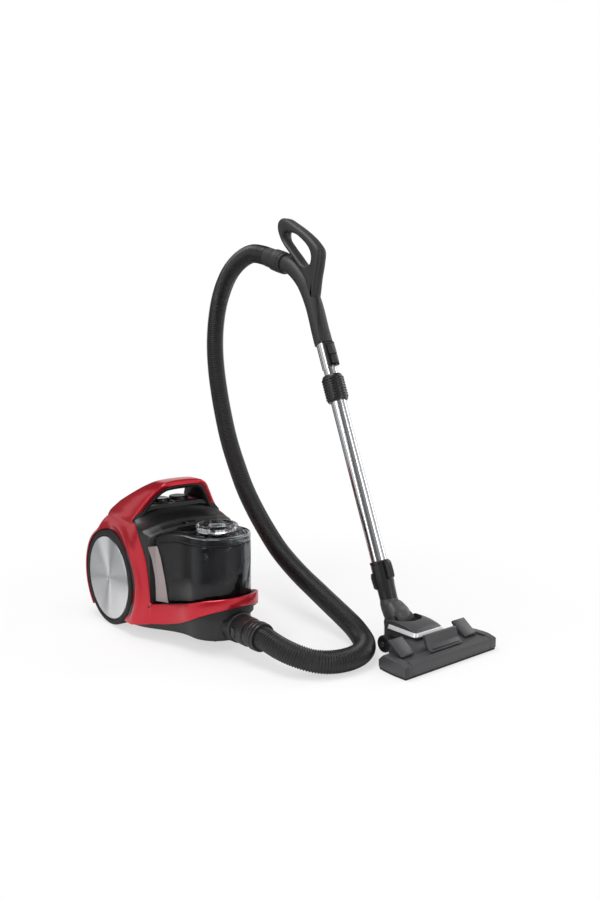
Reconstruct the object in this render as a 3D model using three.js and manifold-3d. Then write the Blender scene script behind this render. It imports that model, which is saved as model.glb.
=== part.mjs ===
// Canister vacuum cleaner: bagless canister, suction hose, telescopic wand and floor head.
// Units are millimetres, +Z is up. The canister faces -Y, and the wand stands at its right, at +X.
import * as THREE from 'three';
import { mergeVertices } from 'three/addons/utils/BufferGeometryUtils.js';
import Module from 'manifold-3d';

const wasm = await Module();
wasm.setup();

// ---- Clearances and walls ----
const gap = 0.3; // between pieces that rest against each other
const boreGap = 0.4; // round a pin, shaft or stem that turns or slides
const runGap = 0.6; // between a turning piece and what carries it
const shellWall = 2.6;
const innerWall = 3; // walls of the black inner mouldings
const binWall = 2.4;

// ---- Canister casing: sizes are measured from the rear axle, which lies over y = 0 ----
const bodyHalf = 131; // half the canister's width
const underside = 27; // height of the housing's bottom over the floor
const housingTop = 96; // height of the housing's side walls
const shoulderY = -95; // where the plan starts to narrow towards the bin
const domeTop = 281;
const domeFlat = 60; // half width of the dome's flat top
const archLip = 6; // width of the shell's edge round the wheel
const kinkY = -92; // where the shell's front edge bends under the handle
const kinkZ = 250;
const cheekFrontY = -162.4; // front edge of the shell's cheeks
const consoleFloor = 79;
const deckHalf = 64;
const deckFrontY = -88;
const deckRearY = -22;
const deckSink = 3; // how far the control deck lies under the dome's top
const deckThickness = 7;
const handleTop = 338;
const handleCoverDepth = 12;
const handleLinerDepth = 8;
const grilleHalf = 58;
const grilleLow = 128;
const grilleHigh = 196;
const grilleSlots = 6;
const buttonRadius = 21;
const buttonHeight = 13;
const buttonTravel = 4;
const buttonStem = 15;
const buttonX = 24;
const buttonY = -58;
const releaseHalf = 15;
const releaseY = -134;
const releaseTop = 258;
const glandRadius = 9;
const glandX = -60;
const glandZ = 72;

// ---- Bin and the tray that it stands in ----
const binAxisY = -258; // centre of the bin's round front
const binRadius = 71;
const binBackY = -163;
const binBottom = 78;
const binHeight = 148;
const lidHeight = 15;
const sealHeight = 1.8;
const knobRadius = 45;
const knobHeight = 18;
const knobStem = 21;
const cycloneRadius = 60;
const cycloneNeck = 30;
const finderRadius = 25;
const filterHalf = 84;
const filterDepth = 12;
const bandRadius = 86;
const bandWall = 5;
const trayHeight = 74; // underside of the bin's tray
const trayGap = 2.4; // between the bin and the tray's wall
const bowlRadius = 70; // housing's round nose under the bin

// ---- Inside the canister ----
const motorSideGap = 2; // from the motor's housing to the wheel well beside it
const motorZ = 108;
const motorRadius = 40;
const motorShaft = 4;
const motorHouseRadius = 48;
const fanRadius = 38;
const fanBlades = 6;
const reelSideGap = 9; // from the drum to the wheel well beside it, for its bracket
const reelY = 42;
const reelZ = 96;
const reelRadius = 48;
const reelHalf = 17;
const reelPinRadius = 4;

// ---- Wheels ----
const wheelRadius = 109;
const wheelWidth = 34;
const tyreDepth = 13;
const tyreLip = 3; // the tyre's face stands this far inside the shell's side
const archGap = 2.5; // from the tyre to the arch that it turns in
const discGap = 1; // from the disc's rim to the tyre
const axleRadius = 7.7;
const casterY = -260;
const casterHouseRadius = 27;
const casterTop = 43;
const casterPinRadius = 4;
const casterTrail = 10;
const casterRadius = 15;
const casterHalf = 8.4;

// ---- Hose and its fittings ----
const portHeight = 54.5;
const portRadius = 32;
const portBore = 24;
const portLength = 32;
const spigotLength = 10; // of the hose connector, in the port's collar
const connectorRadius = 30;
const connectorLength = 38;
const latchSize = 14;
const latchTravel = 2;
const hoseRadius = 23;
const cuffRadius = 30;
const cuffLength = 38;
const gripCuffRadius = 27.5;
const gripCuffLength = 71;

// ---- Wand: places along it are measured from the neck's foot ----
const wandX = 296;
const wandLean = THREE.MathUtils.degToRad(22);
const neckFootY = -477;
const neckFootZ = 92;
const tubeRadius = 17.5;
const innerTubeRadius = 15.8;
const tubeWall = 1.2;
const neckRadius = 21.5;
const neckLength = 91;
const outerTubeStart = 70;
const innerTubeStart = 190;
const sleeveStart = 446;
const sleeveLength = 70;
const sleeveRadius = 25;
const collarStart = 524;
const gripStart = 588;
const gripWidth = 30;
const ductRadius = 21;
const inlayWidth = 10;
const cuffFootY = -118; // the grip's duct ends here, at the hose cuff
const cuffFootZ = 826.2;
const ductRoute = [[-221, 728], [-190, 778], [-156, 809]]; // the duct's bends in (y, z)

// ---- Floor head ----
const headWidth = 274;
const headFrontY = -662;
const headDepth = 80;
const headHeight = 31;
const headWall = 3;
const soleThickness = 4;
const pivotY = -512;
const pivotZ = 46;
const pivotPin = 6;
const drumRadius = 26;
const drumHalf = 24;
const cheekWidth = 9;
const headWheelRadius = 18;
const headWheelWidth = 12;
const headWheelX = 52; // inner face of the wheel, from the head's middle
const coverHalf = 39.6;
const coverFrontY = -596;
const coverRidge = [[-588, 60], [-562, 66], [-525, 67]]; // the cover's back in (y, z)
const coverFrontZ = 55;
const trimWidth = 2.5;
const trimLow = 46.6;
const trimHigh = 54.2;
const padWidth = 38;
const padX = 96;
const pedalHalf = 46;
const pedalY = -618;
const pedalZ = 40;
const pedalPin = 2.5;
const brushHalf = 120;
const stripDepth = 5;
const stripTop = 14;

// ---- Shapes ----
const v2 = (x, y) => new THREE.Vector2(x, y);
const v3 = (x, y, z) => new THREE.Vector3(x, y, z);
const basisYZ = new THREE.Matrix4().makeBasis(v3(0, 1, 0), v3(0, 0, 1), v3(1, 0, 0));
const basisXZ = new THREE.Matrix4().makeBasis(v3(1, 0, 0), v3(0, 0, 1), v3(0, -1, 0));

// A closed three.js geometry as a solid that can be joined and cut.
function solid(geometry) {
  const bare = geometry.index ? geometry.toNonIndexed() : geometry.clone();
  bare.deleteAttribute('normal');
  bare.deleteAttribute('uv');
  const merged = mergeVertices(bare, 1e-4);
  const index = merged.index.array;
  const position = merged.attributes.position.array;
  const faces = [];
  let volume = 0;
  for (let i = 0; i < index.length; i += 3) {
    const [a, b, c] = [index[i], index[i + 1], index[i + 2]];
    if (a === b || b === c || c === a) continue;
    faces.push(a, b, c);
    const [p, q, r] = [a, b, c].map(k => new THREE.Vector3().fromArray(position, 3 * k));
    volume += p.dot(q.cross(r));
  }
  if (volume < 0) faces.reverse();
  const mesh = new wasm.Mesh({ numProp: 3, vertProperties: new Float32Array(position),
    triVerts: new Uint32Array(faces) });
  return new wasm.Manifold(mesh);
}
const extrude = (shape, depth, steps = 7) =>
  new THREE.ExtrudeGeometry(shape, { depth, bevelEnabled: false, curveSegments: steps });
// Prisms along the three axes, from a shape drawn in (x, y), (y, z) or (x, z).
const prismZ = (shape, z0, z1, steps) => solid(extrude(shape, z1 - z0, steps).translate(0, 0, z0));
const prismX = (shape, x0, x1, steps) =>
  solid(extrude(shape, x1 - x0, steps).applyMatrix4(basisYZ).translate(x0, 0, 0));
const prismY = (shape, y0, y1, steps) =>
  solid(extrude(shape, y1 - y0, steps).applyMatrix4(basisXZ).translate(0, y1, 0));
const outline = points => new THREE.Shape(points.map(([x, y]) => v2(x, y)));
const box = (x0, x1, y0, y1, z0, z1) =>
  solid(new THREE.BoxGeometry(x1 - x0, y1 - y0, z1 - z0)
    .translate((x0 + x1) / 2, (y0 + y1) / 2, (z0 + z1) / 2));
// A turned piece: profile points are [radius, height], and it stands on Z.
const turned = (points, sides = 24) =>
  new THREE.LatheGeometry(points.map(([r, h]) => v2(r, h)), sides).rotateX(Math.PI / 2);
const rod = (radius, z0, z1, sides = 24) => turned([[0, z0], [radius, z0], [radius, z1], [0, z1]], sides);
const tube = (outer, inner, z0, z1, sides = 24) =>
  turned([[inner, z0], [outer, z0], [outer, z1], [inner, z1], [inner, z0]], sides);
// Turns a piece that stands on Z to lie along X, or along -Y, and sets it at (x, y, z).
const alongX = (geometry, x, y, z) => geometry.rotateY(Math.PI / 2).translate(x, y, z);
const alongFront = (geometry, x, y, z) => geometry.rotateX(Math.PI / 2).translate(x, y, z);
const union = pieces => pieces.reduce((all, piece) => all.add(piece));

// A finished sub-part: one named mesh with its own material.
function part(name, piece, { color, roughness, metalness = 0, opacity = 1 }) {
  const { vertProperties, triVerts } = piece.getMesh();
  const geometry = new THREE.BufferGeometry();
  geometry.setAttribute('position', new THREE.BufferAttribute(new Float32Array(vertProperties), 3));
  geometry.setIndex(new THREE.BufferAttribute(new Uint32Array(triVerts), 1));
  geometry.computeVertexNormals();
  const transparent = opacity < 1;
  const material = new THREE.MeshStandardMaterial({ color, roughness, metalness, opacity, transparent });
  const mesh = new THREE.Mesh(geometry, material);
  mesh.name = name;
  return mesh;
}

const redPaint = { color: 0xb0121f, roughness: 0.3, metalness: 0.35 };
const blackPlastic = { color: 0x26272a, roughness: 0.5 };
const glossBlack = { color: 0x101113, roughness: 0.15 };
const greyPlastic = { color: 0x3d3e40, roughness: 0.55 };
const brushedAluminium = { color: 0xb9babc, roughness: 0.3, metalness: 1 };
const chrome = { color: 0xd4d6d8, roughness: 0.08, metalness: 1 };
const steel = { color: 0x9a9c9e, roughness: 0.35, metalness: 1 };
const rubber = { color: 0x1b1b1c, roughness: 0.8 };
const smokyClear = { color: 0x55585c, roughness: 0.05, opacity: 0.35 };
const filterFoam = { color: 0xc9b9b6, roughness: 0.9 };
const bristle = { color: 0x202022, roughness: 0.9 };

// ---- Canister casing outlines ----
const tyreInnerX = bodyHalf - tyreLip - wheelWidth;
const wellX = tyreInnerX - 5; // inner wall of the wheel well
const motorX = wellX - motorHouseRadius - motorSideGap;
const reelX = reelHalf + reelSideGap - wellX;
const archRadius = wheelRadius + archGap;
const domeRadius = archRadius + archLip;
const baseInset = shellWall + gap;
const noseY = binAxisY - bandRadius - 1; // just in front of the canister
const crownAngle = Math.PI / 3; // where the dome leaves the wheel arch's circle
const deckTop = domeTop - deckSink;
const bandLow = y => underside + 0.2 * (-110 - y); // lower edge of the cheek and of the band

// Seen from the side, in (y, z): round the wheel, then forward over the dome.
function domeSide(inset, floor) {
  const r = domeRadius - inset;
  const top = domeTop - inset;
  const low = Math.asin((floor - wheelRadius) / r);
  const shape = new THREE.Shape();
  shape.absarc(0, wheelRadius, r, low, crownAngle, false);
  shape.quadraticCurveTo(24 - 0.6 * inset, top - 17, -45, top);
  shape.lineTo(noseY, top);
  shape.lineTo(noseY, floor);
  return shape;
}
// Seen from the front, in (x, z): straight sides under a rounded top.
function domeFront(inset, floor) {
  const side = bodyHalf - inset;
  const flat = domeFlat - 0.5 * inset;
  const top = domeTop - inset;
  const shape = new THREE.Shape();
  shape.moveTo(side, floor);
  shape.lineTo(side, top - 107);
  shape.bezierCurveTo(side, top - 42, side - 26, top, flat, top);
  shape.lineTo(-flat, top);
  shape.bezierCurveTo(26 - side, top, -side, top - 42, -side, top - 107);
  shape.lineTo(-side, floor);
  return shape;
}
// Seen from above, in (x, y): parallel sides that draw in to the bin's round front.
function plan(halfWidth, radius, backY) {
  const shape = new THREE.Shape();
  shape.moveTo(halfWidth, backY);
  shape.lineTo(halfWidth, shoulderY);
  shape.bezierCurveTo(halfWidth, shoulderY - 62, radius, binAxisY + 70, radius, binAxisY);
  shape.absarc(0, binAxisY, radius, 0, -Math.PI, true);
  shape.bezierCurveTo(-radius, binAxisY + 70, -halfWidth, shoulderY - 62, -halfWidth, shoulderY);
  shape.lineTo(-halfWidth, backY);
  return shape;
}
const dome = (inset, floor) => prismX(domeSide(inset, floor), -bodyHalf - 1, bodyHalf + 1)
  .intersect(prismY(domeFront(inset, floor), noseY, domeRadius + 1))
  .intersect(prismZ(plan(bodyHalf - inset, bandRadius - inset, domeRadius + 1), floor, domeTop + 1));
const bothSides = make => make(1).add(make(-1));
// A box on one side of x = middle, from a to b away from it.
const sideBox = (side, middle, a, b, y0, y1, z0, z1) =>
  box(Math.min(middle + side * a, middle + side * b), Math.max(middle + side * a, middle + side * b), y0,
  y1, z0, z1);
// A rod along X on one side of x = middle, from a to b away from it.
const sideRod = (side, middle, a, b, radius, y, z, sides) =>
  solid(alongX(rod(radius, Math.min(side * a, side * b), Math.max(side * a, side * b), sides), middle, y,
  z));

function bodyShell() {
  const arches = bothSides(s => sideRod(s, 0, bodyHalf - 20, bodyHalf + 20, archRadius, 0, wheelRadius,
    36));
  const edge = new THREE.Shape([v2(noseY - 1, domeTop + 1), v2(kinkY, domeTop + 1)]);
  edge.lineTo(kinkY, kinkZ);
  edge.bezierCurveTo(-128, 241, 12 + cheekFrontY, 214, 5 + cheekFrontY, 158);
  edge.lineTo(cheekFrontY, 112);
  edge.lineTo(cheekFrontY, bandLow(cheekFrontY));
  edge.lineTo(-110, underside - 1);
  edge.lineTo(noseY - 1, underside - 1);
  const deckHole = box(-deckHalf - gap, deckHalf + gap, kinkY - 1, deckRearY + gap, domeTop - 20,
    domeTop + 5);
  const grille = box(-grilleHalf, grilleHalf, 60, domeRadius + 5, grilleLow, grilleHigh);
  return dome(0, underside).subtract(dome(shellWall, underside - 1)).subtract(arches)
    .subtract(prismX(edge, -bodyHalf - 2, bodyHalf + 2)).subtract(deckHole).subtract(grille)
    .subtract(cordHole());
}
const cordHole = () => solid(alongFront(rod(glandRadius + gap, -20, 20, 16), glandX, 110, glandZ));

// The carry handle is a hoop over the dome. In (x, z) it is drawn in by an inset, in each point's own
// direction.
const hoopArc = [[113, 250, 1.2, 0], [101, 272, 1.1, 0], [78, 306, 0.9, 0.4], [66, 320.5, 0.75, 0.65],
  [48, handleTop - 4.5, 0.4, 0.9], [26, handleTop, 0, 1]];
function hoopFront(inset) {
  const half = hoopArc.map(([x, z, outward, upward]) => [x - inset * outward, z - inset * upward]);
  return outline([...half, ...half.map(([x, z]) => [-x, z]).reverse()]);
}
const hoopBand = (outer, inner, side) => prismX(side, -bodyHalf, bodyHalf)
  .intersect(prismY(hoopFront(outer), -160, 40)).subtract(prismY(hoopFront(inner), -161, 41));
// Its red cover and the black liner under it, seen from the side in (y, z).
const coverSide =
  outline([[-90, 254], [-97, 279], [-106, 295], [-110, 311], [-128, handleTop - 11], [-129, handleTop - 5],
  [-114, handleTop], [-88, handleTop - 1], [-58, 321], [-28, 303], [2, 284], [24, 262], [24, 254]]);
const linerSide = outline([[-93, 254], [-100, 279], [-109, 295], [-113, 309], [-131, handleTop - 14],
  [-131, handleTop - 10], [-84, handleTop - 10], [-54, 314], [-28, 298], [-2, 278], [2, 254]]);
const handleCover = () => hoopBand(0, handleCoverDepth, coverSide).subtract(dome(-gap, underside));
const handleLiner = () => hoopBand(handleCoverDepth + gap, handleCoverDepth + handleLinerDepth, linerSide)
  .subtract(dome(-gap, underside));

// ---- Canister casing ----
function baseHousing() {
  const half = bodyHalf - baseInset;
  const low = underside;
  const floor = low + innerWall;
  const bodySide = prismX(domeSide(baseInset, low), -half, half);
  const side = outline([[noseY, low], [domeRadius, low], [domeRadius, housingTop], [-85, housingTop],
    [-85, consoleFloor - gap], [binBackY, consoleFloor - gap], [binBackY, trayHeight - gap],
    [noseY, trayHeight - gap]]);
  const outer = prismZ(plan(half, bowlRadius, domeRadius), low, housingTop).intersect(prismX(side, -half,
    half));
  const inner = prismZ(plan(half - innerWall, bowlRadius - innerWall, domeRadius), floor, housingTop + 1)
    .intersect(prismX(domeSide(baseInset + innerWall, low), -half, half));
  const drums = bothSides(s => sideRod(s, 0, wellX, half, domeRadius - baseInset, 0, wheelRadius, 32))
    .intersect(dome(baseInset, low));
  const wells = bothSides(s => sideRod(s, 0, wellX + innerWall, half + 5, archRadius, 0, wheelRadius, 32));
  const stubs = bothSides(s => sideRod(s, 0, wellX + 1, wellX + 31, axleRadius, 0, wheelRadius, 16));
  const cup = solid(rod(casterHouseRadius + innerWall, low, casterTop + innerWall).translate(0, casterY,
    0));
  const recess = solid(rod(casterHouseRadius, low - 1, casterTop).translate(0, casterY, 0));
  const pinHole =
    solid(rod(casterPinRadius + gap, casterTop - 1, casterTop + 5, 16).translate(0, casterY, 0));
  const port = solid(alongFront(rod(portBore - 2, 0, 60), 0, -300, portHeight));
  const motorRest = union([-60, 22].map(y => box(motorX - 30, motorX + 30, y, y + 8, floor - 1, motorZ)))
    .subtract(solid(alongFront(rod(motorHouseRadius + gap, -200, 200), motorX, 0, motorZ)));
  const reelRest = bothSides(s => sideBox(s, reelX, reelHalf + 2, reelHalf + 8, reelY - 12, reelY + 12,
    floor - 1, reelZ + 10)).subtract(solid(alongX(rod(reelPinRadius + gap, -60, 60, 16), reelX, reelY,
    reelZ)));
  return outer.subtract(inner).intersect(bodySide).add(drums).add(cup).add(motorRest).add(reelRest)
    .subtract(wells).add(stubs).subtract(recess).subtract(pinHole).subtract(port).subtract(cordHole());
}

// The band round the bin and the tray inside it, seen from the side in (y, z).
const bandFrontY = binAxisY - bandRadius - 1;
const bandSide = outline([[cheekFrontY - gap, bandLow(cheekFrontY)], [binAxisY, 60], [-309, 84],
  [bandFrontY, 98],
  [bandFrontY, 121], [-309, 116], [binAxisY, 101], [cheekFrontY - gap, 82]]);
const frontBand = () => prismZ(plan(bodyHalf, bandRadius, 0), underside, 130)
  .subtract(prismZ(plan(bodyHalf - bandWall, bandRadius - bandWall, 0), 0, 140))
  .intersect(prismX(bandSide, -bodyHalf - 1, bodyHalf + 1));

// The bin's plan, grown by an offset all round. The tray's walls follow it at their own distances.
const binShape = (offset, z0, z1) =>
  prismZ(plan(bodyHalf - bandRadius + binRadius + offset, binRadius + offset, 0), z0, z1);
const trayWallOut = trayGap + innerWall;
function binTray() {
  const rim =
    outline([[binBackY, trayHeight], [binBackY, 80], [binAxisY, 99], [-309, 114], [bandFrontY, 119],
    [bandFrontY, trayHeight]]);
  const lipSide = outline([[binBackY, trayHeight], [binBackY, 80], [binAxisY, 99], [-309, 114],
    [bandFrontY, 119],
    [bandFrontY, 108], [-309, 103], [binAxisY, 88]]);
  const cup = binShape(trayWallOut, trayHeight, 130).subtract(binShape(trayGap, binBottom - gap, 131));
  const lip = binShape(bandRadius - bandWall - gap - binRadius, trayHeight, 130)
    .subtract(binShape(trayGap, 0, 131));
  return cup.intersect(prismX(rim, -bodyHalf, bodyHalf)).add(lip.intersect(prismX(lipSide, -bodyHalf,
    bodyHalf)));
}

// The console closes the casing between the handle and the bin: a hollow slope over an upright wall.
function consolePiece() {
  const rearY = deckFrontY - gap;
  const frontY = cheekFrontY;
  const face = inset =>
    outline([[rearY, consoleFloor - inset], [frontY + inset, consoleFloor - inset],
    [frontY + inset, 244 - inset], [-150, 247 - inset], [-125, 251 - inset],
    [-104 + 0.5 * inset, 262 - inset], [-94 + inset, deckTop - 2 - inset], [rearY, deckTop - inset]]);
  const open = box(-bodyHalf, bodyHalf, rearY - 3, 0, 0, deckTop - innerWall);
  const block = dome(baseInset, consoleFloor).intersect(prismX(face(0), -bodyHalf, bodyHalf));
  const hollow = dome(baseInset + innerWall, consoleFloor - 2)
    .intersect(prismX(face(innerWall), -bodyHalf, bodyHalf).add(open));
  const slot = box(-releaseHalf - gap, releaseHalf + gap, releaseY - 6 - gap, releaseY + 6 + gap, 240, 290);
  const wells = bothSides(s => sideRod(s, 0, wellX - gap, bodyHalf, domeRadius - baseInset + gap, 0,
    wheelRadius, 32));
  return block.subtract(hollow).subtract(slot).subtract(wells);
}
const binRelease = () => prismX(outline([[releaseY - 6, releaseTop - 14], [releaseY + 6, releaseTop - 12],
  [releaseY + 6, releaseTop], [releaseY - 6, releaseTop - 3]]), -releaseHalf, releaseHalf);

function controlDeck() {
  const plate = box(-deckHalf, deckHalf, deckFrontY, deckRearY, deckTop - deckThickness, deckTop);
  const holes = bothSides(s => solid(rod(buttonStem + boreGap, deckTop - 10, deckTop + 5)
    .translate(s * buttonX, buttonY, 0)));
  return plate.subtract(holes);
}
const pushButton = () => solid(turned([[0, -deckThickness - 4], [buttonStem, -deckThickness - 4],
  [buttonStem, buttonTravel + 0.8], [buttonRadius, buttonTravel + 0.8], [buttonRadius, buttonHeight - 4],
  [buttonRadius - 5, buttonHeight], [0, buttonHeight]], 20));

function exhaustGrille() {
  const frame = dome(0, underside).subtract(dome(shellWall, underside - 1))
    .intersect(box(gap - grilleHalf, grilleHalf - gap, 60, domeRadius + 5, grilleLow + gap,
    grilleHigh - gap));
  const pitch = (grilleHigh - grilleLow - 10) / grilleSlots;
  const slots =
    union(Array.from({ length: grilleSlots }, (_, i) =>
    box(8 - grilleHalf, grilleHalf - 8, 60, domeRadius + 5, grilleLow + 7.5 + i * pitch,
    grilleLow + 12.5 + i * pitch)));
  return frame.subtract(slots);
}
const exhaustFilter = () => dome(baseInset, underside).subtract(dome(shellWall + 11, underside - 1))
  .intersect(box(8 - grilleHalf, grilleHalf - 8, 60, domeRadius, grilleLow + 3, grilleHigh - 3));
const cordGland = () => solid(alongFront(tube(glandRadius, 4, -9, 7, 16), glandX, 107, glandZ));

// ---- Inside the canister ----
const motorHousing = () =>
  solid(alongFront(turned([[18, 74], [motorHouseRadius, 74], [motorHouseRadius, -52],
  [motorHouseRadius - 3, -52], [motorHouseRadius - 3, 71], [18, 71], [18, 74]]), motorX, 0, motorZ));
function motorUnit() {
  const fit = motorHouseRadius - 3 - gap;
  return solid(alongFront(turned([[0, -40], [motorRadius, -40], [motorRadius, 18], [fit, 18], [fit, 26],
    [motorRadius, 26], [motorRadius, 34], [motorShaft, 34], [motorShaft, 66], [0, 66]]), motorX, 0,
    motorZ));
}
function motorFan() {
  const bore = motorShaft + boreGap;
  const disc = solid(turned([[bore, 40], [fanRadius, 40], [fanRadius, 42], [12, 42], [9, 60], [bore, 60],
    [bore, 40]]));
  const blades = union(Array.from({ length: fanBlades }, (_,
    i) => solid(new THREE.BoxGeometry(fanRadius - 11, 1.6, 12)
    .translate((fanRadius + 8) / 2, 0, 47.5).rotateZ(i * 2 * Math.PI / fanBlades))));
  return disc.add(blades);
}
const reelDrum = () => solid(alongX(turned([[reelPinRadius + boreGap, -reelHalf], [reelRadius, -reelHalf],
  [reelRadius, 2 - reelHalf], [18, 2 - reelHalf], [18, reelHalf - 2], [reelRadius, reelHalf - 2],
  [reelRadius, reelHalf], [reelPinRadius + boreGap, reelHalf], [reelPinRadius + boreGap, -reelHalf]]),
  reelX, reelY, reelZ));
const reelPin = () => solid(alongX(rod(reelPinRadius, -reelHalf - 8, reelHalf + 8, 16), reelX, reelY,
  reelZ));

// ---- Bin ----
const rimZ = binBottom + binHeight;
const lidZ = rimZ + 2 * gap + sealHeight;
const lidTop = lidZ + lidHeight;
const binSolid = (inset, z0, z1) => binShape(-inset, z0, z1)
  .intersect(box(-bodyHalf, bodyHalf, noseY, binBackY - inset, z0 - 1, z1 + 1));
const binContainer = () => binSolid(0, binBottom, rimZ)
  .subtract(binSolid(binWall, binBottom + binWall, rimZ + 1));
const binSeal = () => binSolid(0.4, rimZ + gap, rimZ + gap + sealHeight)
  .subtract(binSolid(binWall + 1.2, rimZ, lidZ));
const binLid = () => binSolid(0, lidZ, lidTop).subtract(binSolid(binWall, lidZ - 1, lidTop - binWall))
  .subtract(solid(rod(knobStem + boreGap, lidZ, lidTop + 1).translate(0, binAxisY, 0)));
function binKnob() {
  const foot = lidTop + gap;
  const top = foot + knobHeight;
  return solid(turned([[0, lidTop - 8], [knobStem, lidTop - 8], [knobStem, foot], [knobRadius - 3, foot],
    [knobRadius, foot + 4], [knobRadius, top - 4], [knobRadius - 4, top], [knobRadius - 12, top - 3],
    [0, top - 5]], 28).translate(0, binAxisY, 0));
}
const cycloneTop = lidTop - binWall - gap;
function cycloneCone() {
  const low = binBottom + binWall + 6;
  const shoulder = rimZ - 8;
  const bore = finderRadius + gap;
  return solid(turned([[cycloneRadius - 4, low], [cycloneRadius, low + 4], [cycloneRadius, shoulder],
    [cycloneNeck, shoulder], [cycloneNeck, cycloneTop], [bore, cycloneTop], [bore, shoulder - 3],
    [cycloneRadius - 4, shoulder - 3], [cycloneRadius - 4, low]]).translate(0, binAxisY, 0));
}
const vortexFinder = () =>
  solid(tube(finderRadius, finderRadius - 2, 140, cycloneTop).translate(0, binAxisY, 0));
const filterCassette = () => box(-filterHalf, filterHalf, binBackY - binWall - gap - filterDepth,
  binBackY - binWall - gap, binBottom + binWall + gap, rimZ - 12);

// ---- Running gear ----
const rimRadius = wheelRadius - tyreDepth;
const discRadius = rimRadius - discGap;
const wheelTyre = () =>
  solid(alongX(turned([[rimRadius, 0], [wheelRadius, 0], [wheelRadius, wheelWidth - 4],
  [wheelRadius - 3, wheelWidth], [rimRadius, wheelWidth], [rimRadius, 0]], 36), 0, 0, 0));
const wheelHub = () => solid(alongX(turned([[axleRadius + gap, 3], [22, 3], [22, 12], [rimRadius - gap, 12],
  [rimRadius - gap, wheelWidth - 6], [axleRadius + gap, wheelWidth - 6], [axleRadius + gap, 3]], 36), 0,
  0, 0));
const wheelDisc = () => solid(alongX(turned([[0, wheelWidth - 6 + gap], [discRadius, wheelWidth - 6 + gap],
  [discRadius, wheelWidth - 1], [discRadius - 4, wheelWidth], [0, wheelWidth - 4]], 36), 0, 0, 0));
function casterFork() {
  const plate = solid(rod(casterHouseRadius - runGap, casterTop - 6, casterTop - 0.5));
  const pin = solid(rod(casterPinRadius, casterTop - 3, casterTop + 3, 16));
  const cheeks = bothSides(s => sideBox(s, 0, casterHalf + runGap, casterHalf + 4.6, casterTrail - 9,
    casterTrail + 9,
    casterRadius - 5, casterTop - 5));
  const axle = solid(alongX(rod(3, -casterHalf - 5, casterHalf + 5, 12), 0, casterTrail, casterRadius));
  return plate.add(pin).add(cheeks).add(axle);
}
const casterWheel = () => solid(alongX(turned([[3 + boreGap, -casterHalf], [casterRadius - 2, -casterHalf],
  [casterRadius, 2 - casterHalf], [casterRadius, casterHalf - 2], [casterRadius - 2, casterHalf],
  [3 + boreGap, casterHalf], [3 + boreGap, -casterHalf]]), 0, casterTrail, casterRadius));

// ---- Hose and its fittings ----
const collarBackY = binAxisY - bowlRadius + 15;
const collarFrontY = collarBackY - portLength;
const portCollar = () => solid(alongFront(tube(portRadius, portBore, 0, portLength), 0, collarBackY,
  portHeight))
  .subtract(prismZ(plan(bodyHalf, bowlRadius + gap, 0), 0, trayHeight))
  .subtract(binShape(trayWallOut + gap, trayHeight - gap, 130));
const latchY = collarFrontY - 12;
const hoseBore = 20.6;
function hoseConnector() {
  const spigot = portBore - gap;
  const body =
    solid(alongFront(turned([[hoseBore, -spigotLength], [spigot, -spigotLength], [spigot, gap],
    [connectorRadius, gap], [connectorRadius, connectorLength], [hoseBore, connectorLength],
    [hoseBore, -spigotLength]]), 0, collarFrontY, portHeight));
  const reach = latchSize / 2 + boreGap;
  const pockets = bothSides(s => sideBox(s, 0, connectorRadius - 5, 60, latchY - reach, latchY + reach,
    portHeight - reach, portHeight + reach));
  return body.subtract(pockets);
}
const latchButton = s => sideBox(s, 0, connectorRadius - 5 + latchTravel + gap, connectorRadius + 2,
  latchY - latchSize / 2, latchY + latchSize / 2, portHeight - latchSize / 2, portHeight + latchSize / 2);
const cuffBackY = collarFrontY - connectorLength - runGap;
const hoseStartY = cuffBackY - cuffLength;
const lowerCuff = () =>
  solid(alongFront(turned([[17, -12], [hoseBore - runGap, -12], [hoseBore - runGap, 0],
  [cuffRadius - 2, 0], [cuffRadius - 2, 16], [cuffRadius, 20], [cuffRadius, cuffLength - gap],
  [17, cuffLength - gap], [17, -12]]), 0, cuffBackY, portHeight));

const cuffAxis = v3(0, 77, 23).normalize(); // direction in which the hose leaves the grip
const cuffFoot = v3(wandX, cuffFootY, cuffFootZ); // where the hose cuff meets the grip's duct
const hoseRoute = [[0, hoseStartY, portHeight], [0, hoseStartY - 12, portHeight], [0, -450, 52],
  [5, -476, 46], [18, -504, 38], [40, -530, 30], [68, -546, 25.5], [100, -554, 24], [134, -552, 24],
  [168, -536, 24], [196, -508, 24.5], [214, -476, 28], [226, -440, 36], [231, -400, 48], [234, -352, 64],
  [237, -300, 82], [240, -246, 101], [243, -196, 122], [247, -150, 144], [251, -106, 172], [256, -46, 218],
  [261, 8, 268], [266, 54, 325], [270, 93, 384], [275, 125, 445], [280, 152, 508], [285, 173, 570],
  [289, 184, 632], [293, 183, 695], [296, 166, 758], [296, 126, 813], [296, 78, 845], [296, 22, 860]];
function bentRod(radius, points, steps, halfSides) {
  const ring = new THREE.Shape();
  ring.absarc(0, 0, radius, 0, Math.PI * 2, false);
  const extrudePath = new THREE.CatmullRomCurve3(points, false, 'centripetal');
  return solid(new THREE.ExtrudeGeometry(ring, { steps, curveSegments: halfSides, bevelEnabled: false,
    extrudePath }));
}
function hosePiece() {
  const end = cuffFoot.clone().addScaledVector(cuffAxis, gripCuffLength + gap);
  const points = [...hoseRoute.map(p => v3(...p)), end.clone().addScaledVector(cuffAxis, 20), end];
  return bentRod(hoseRadius, points, 40, 5);
}

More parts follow.
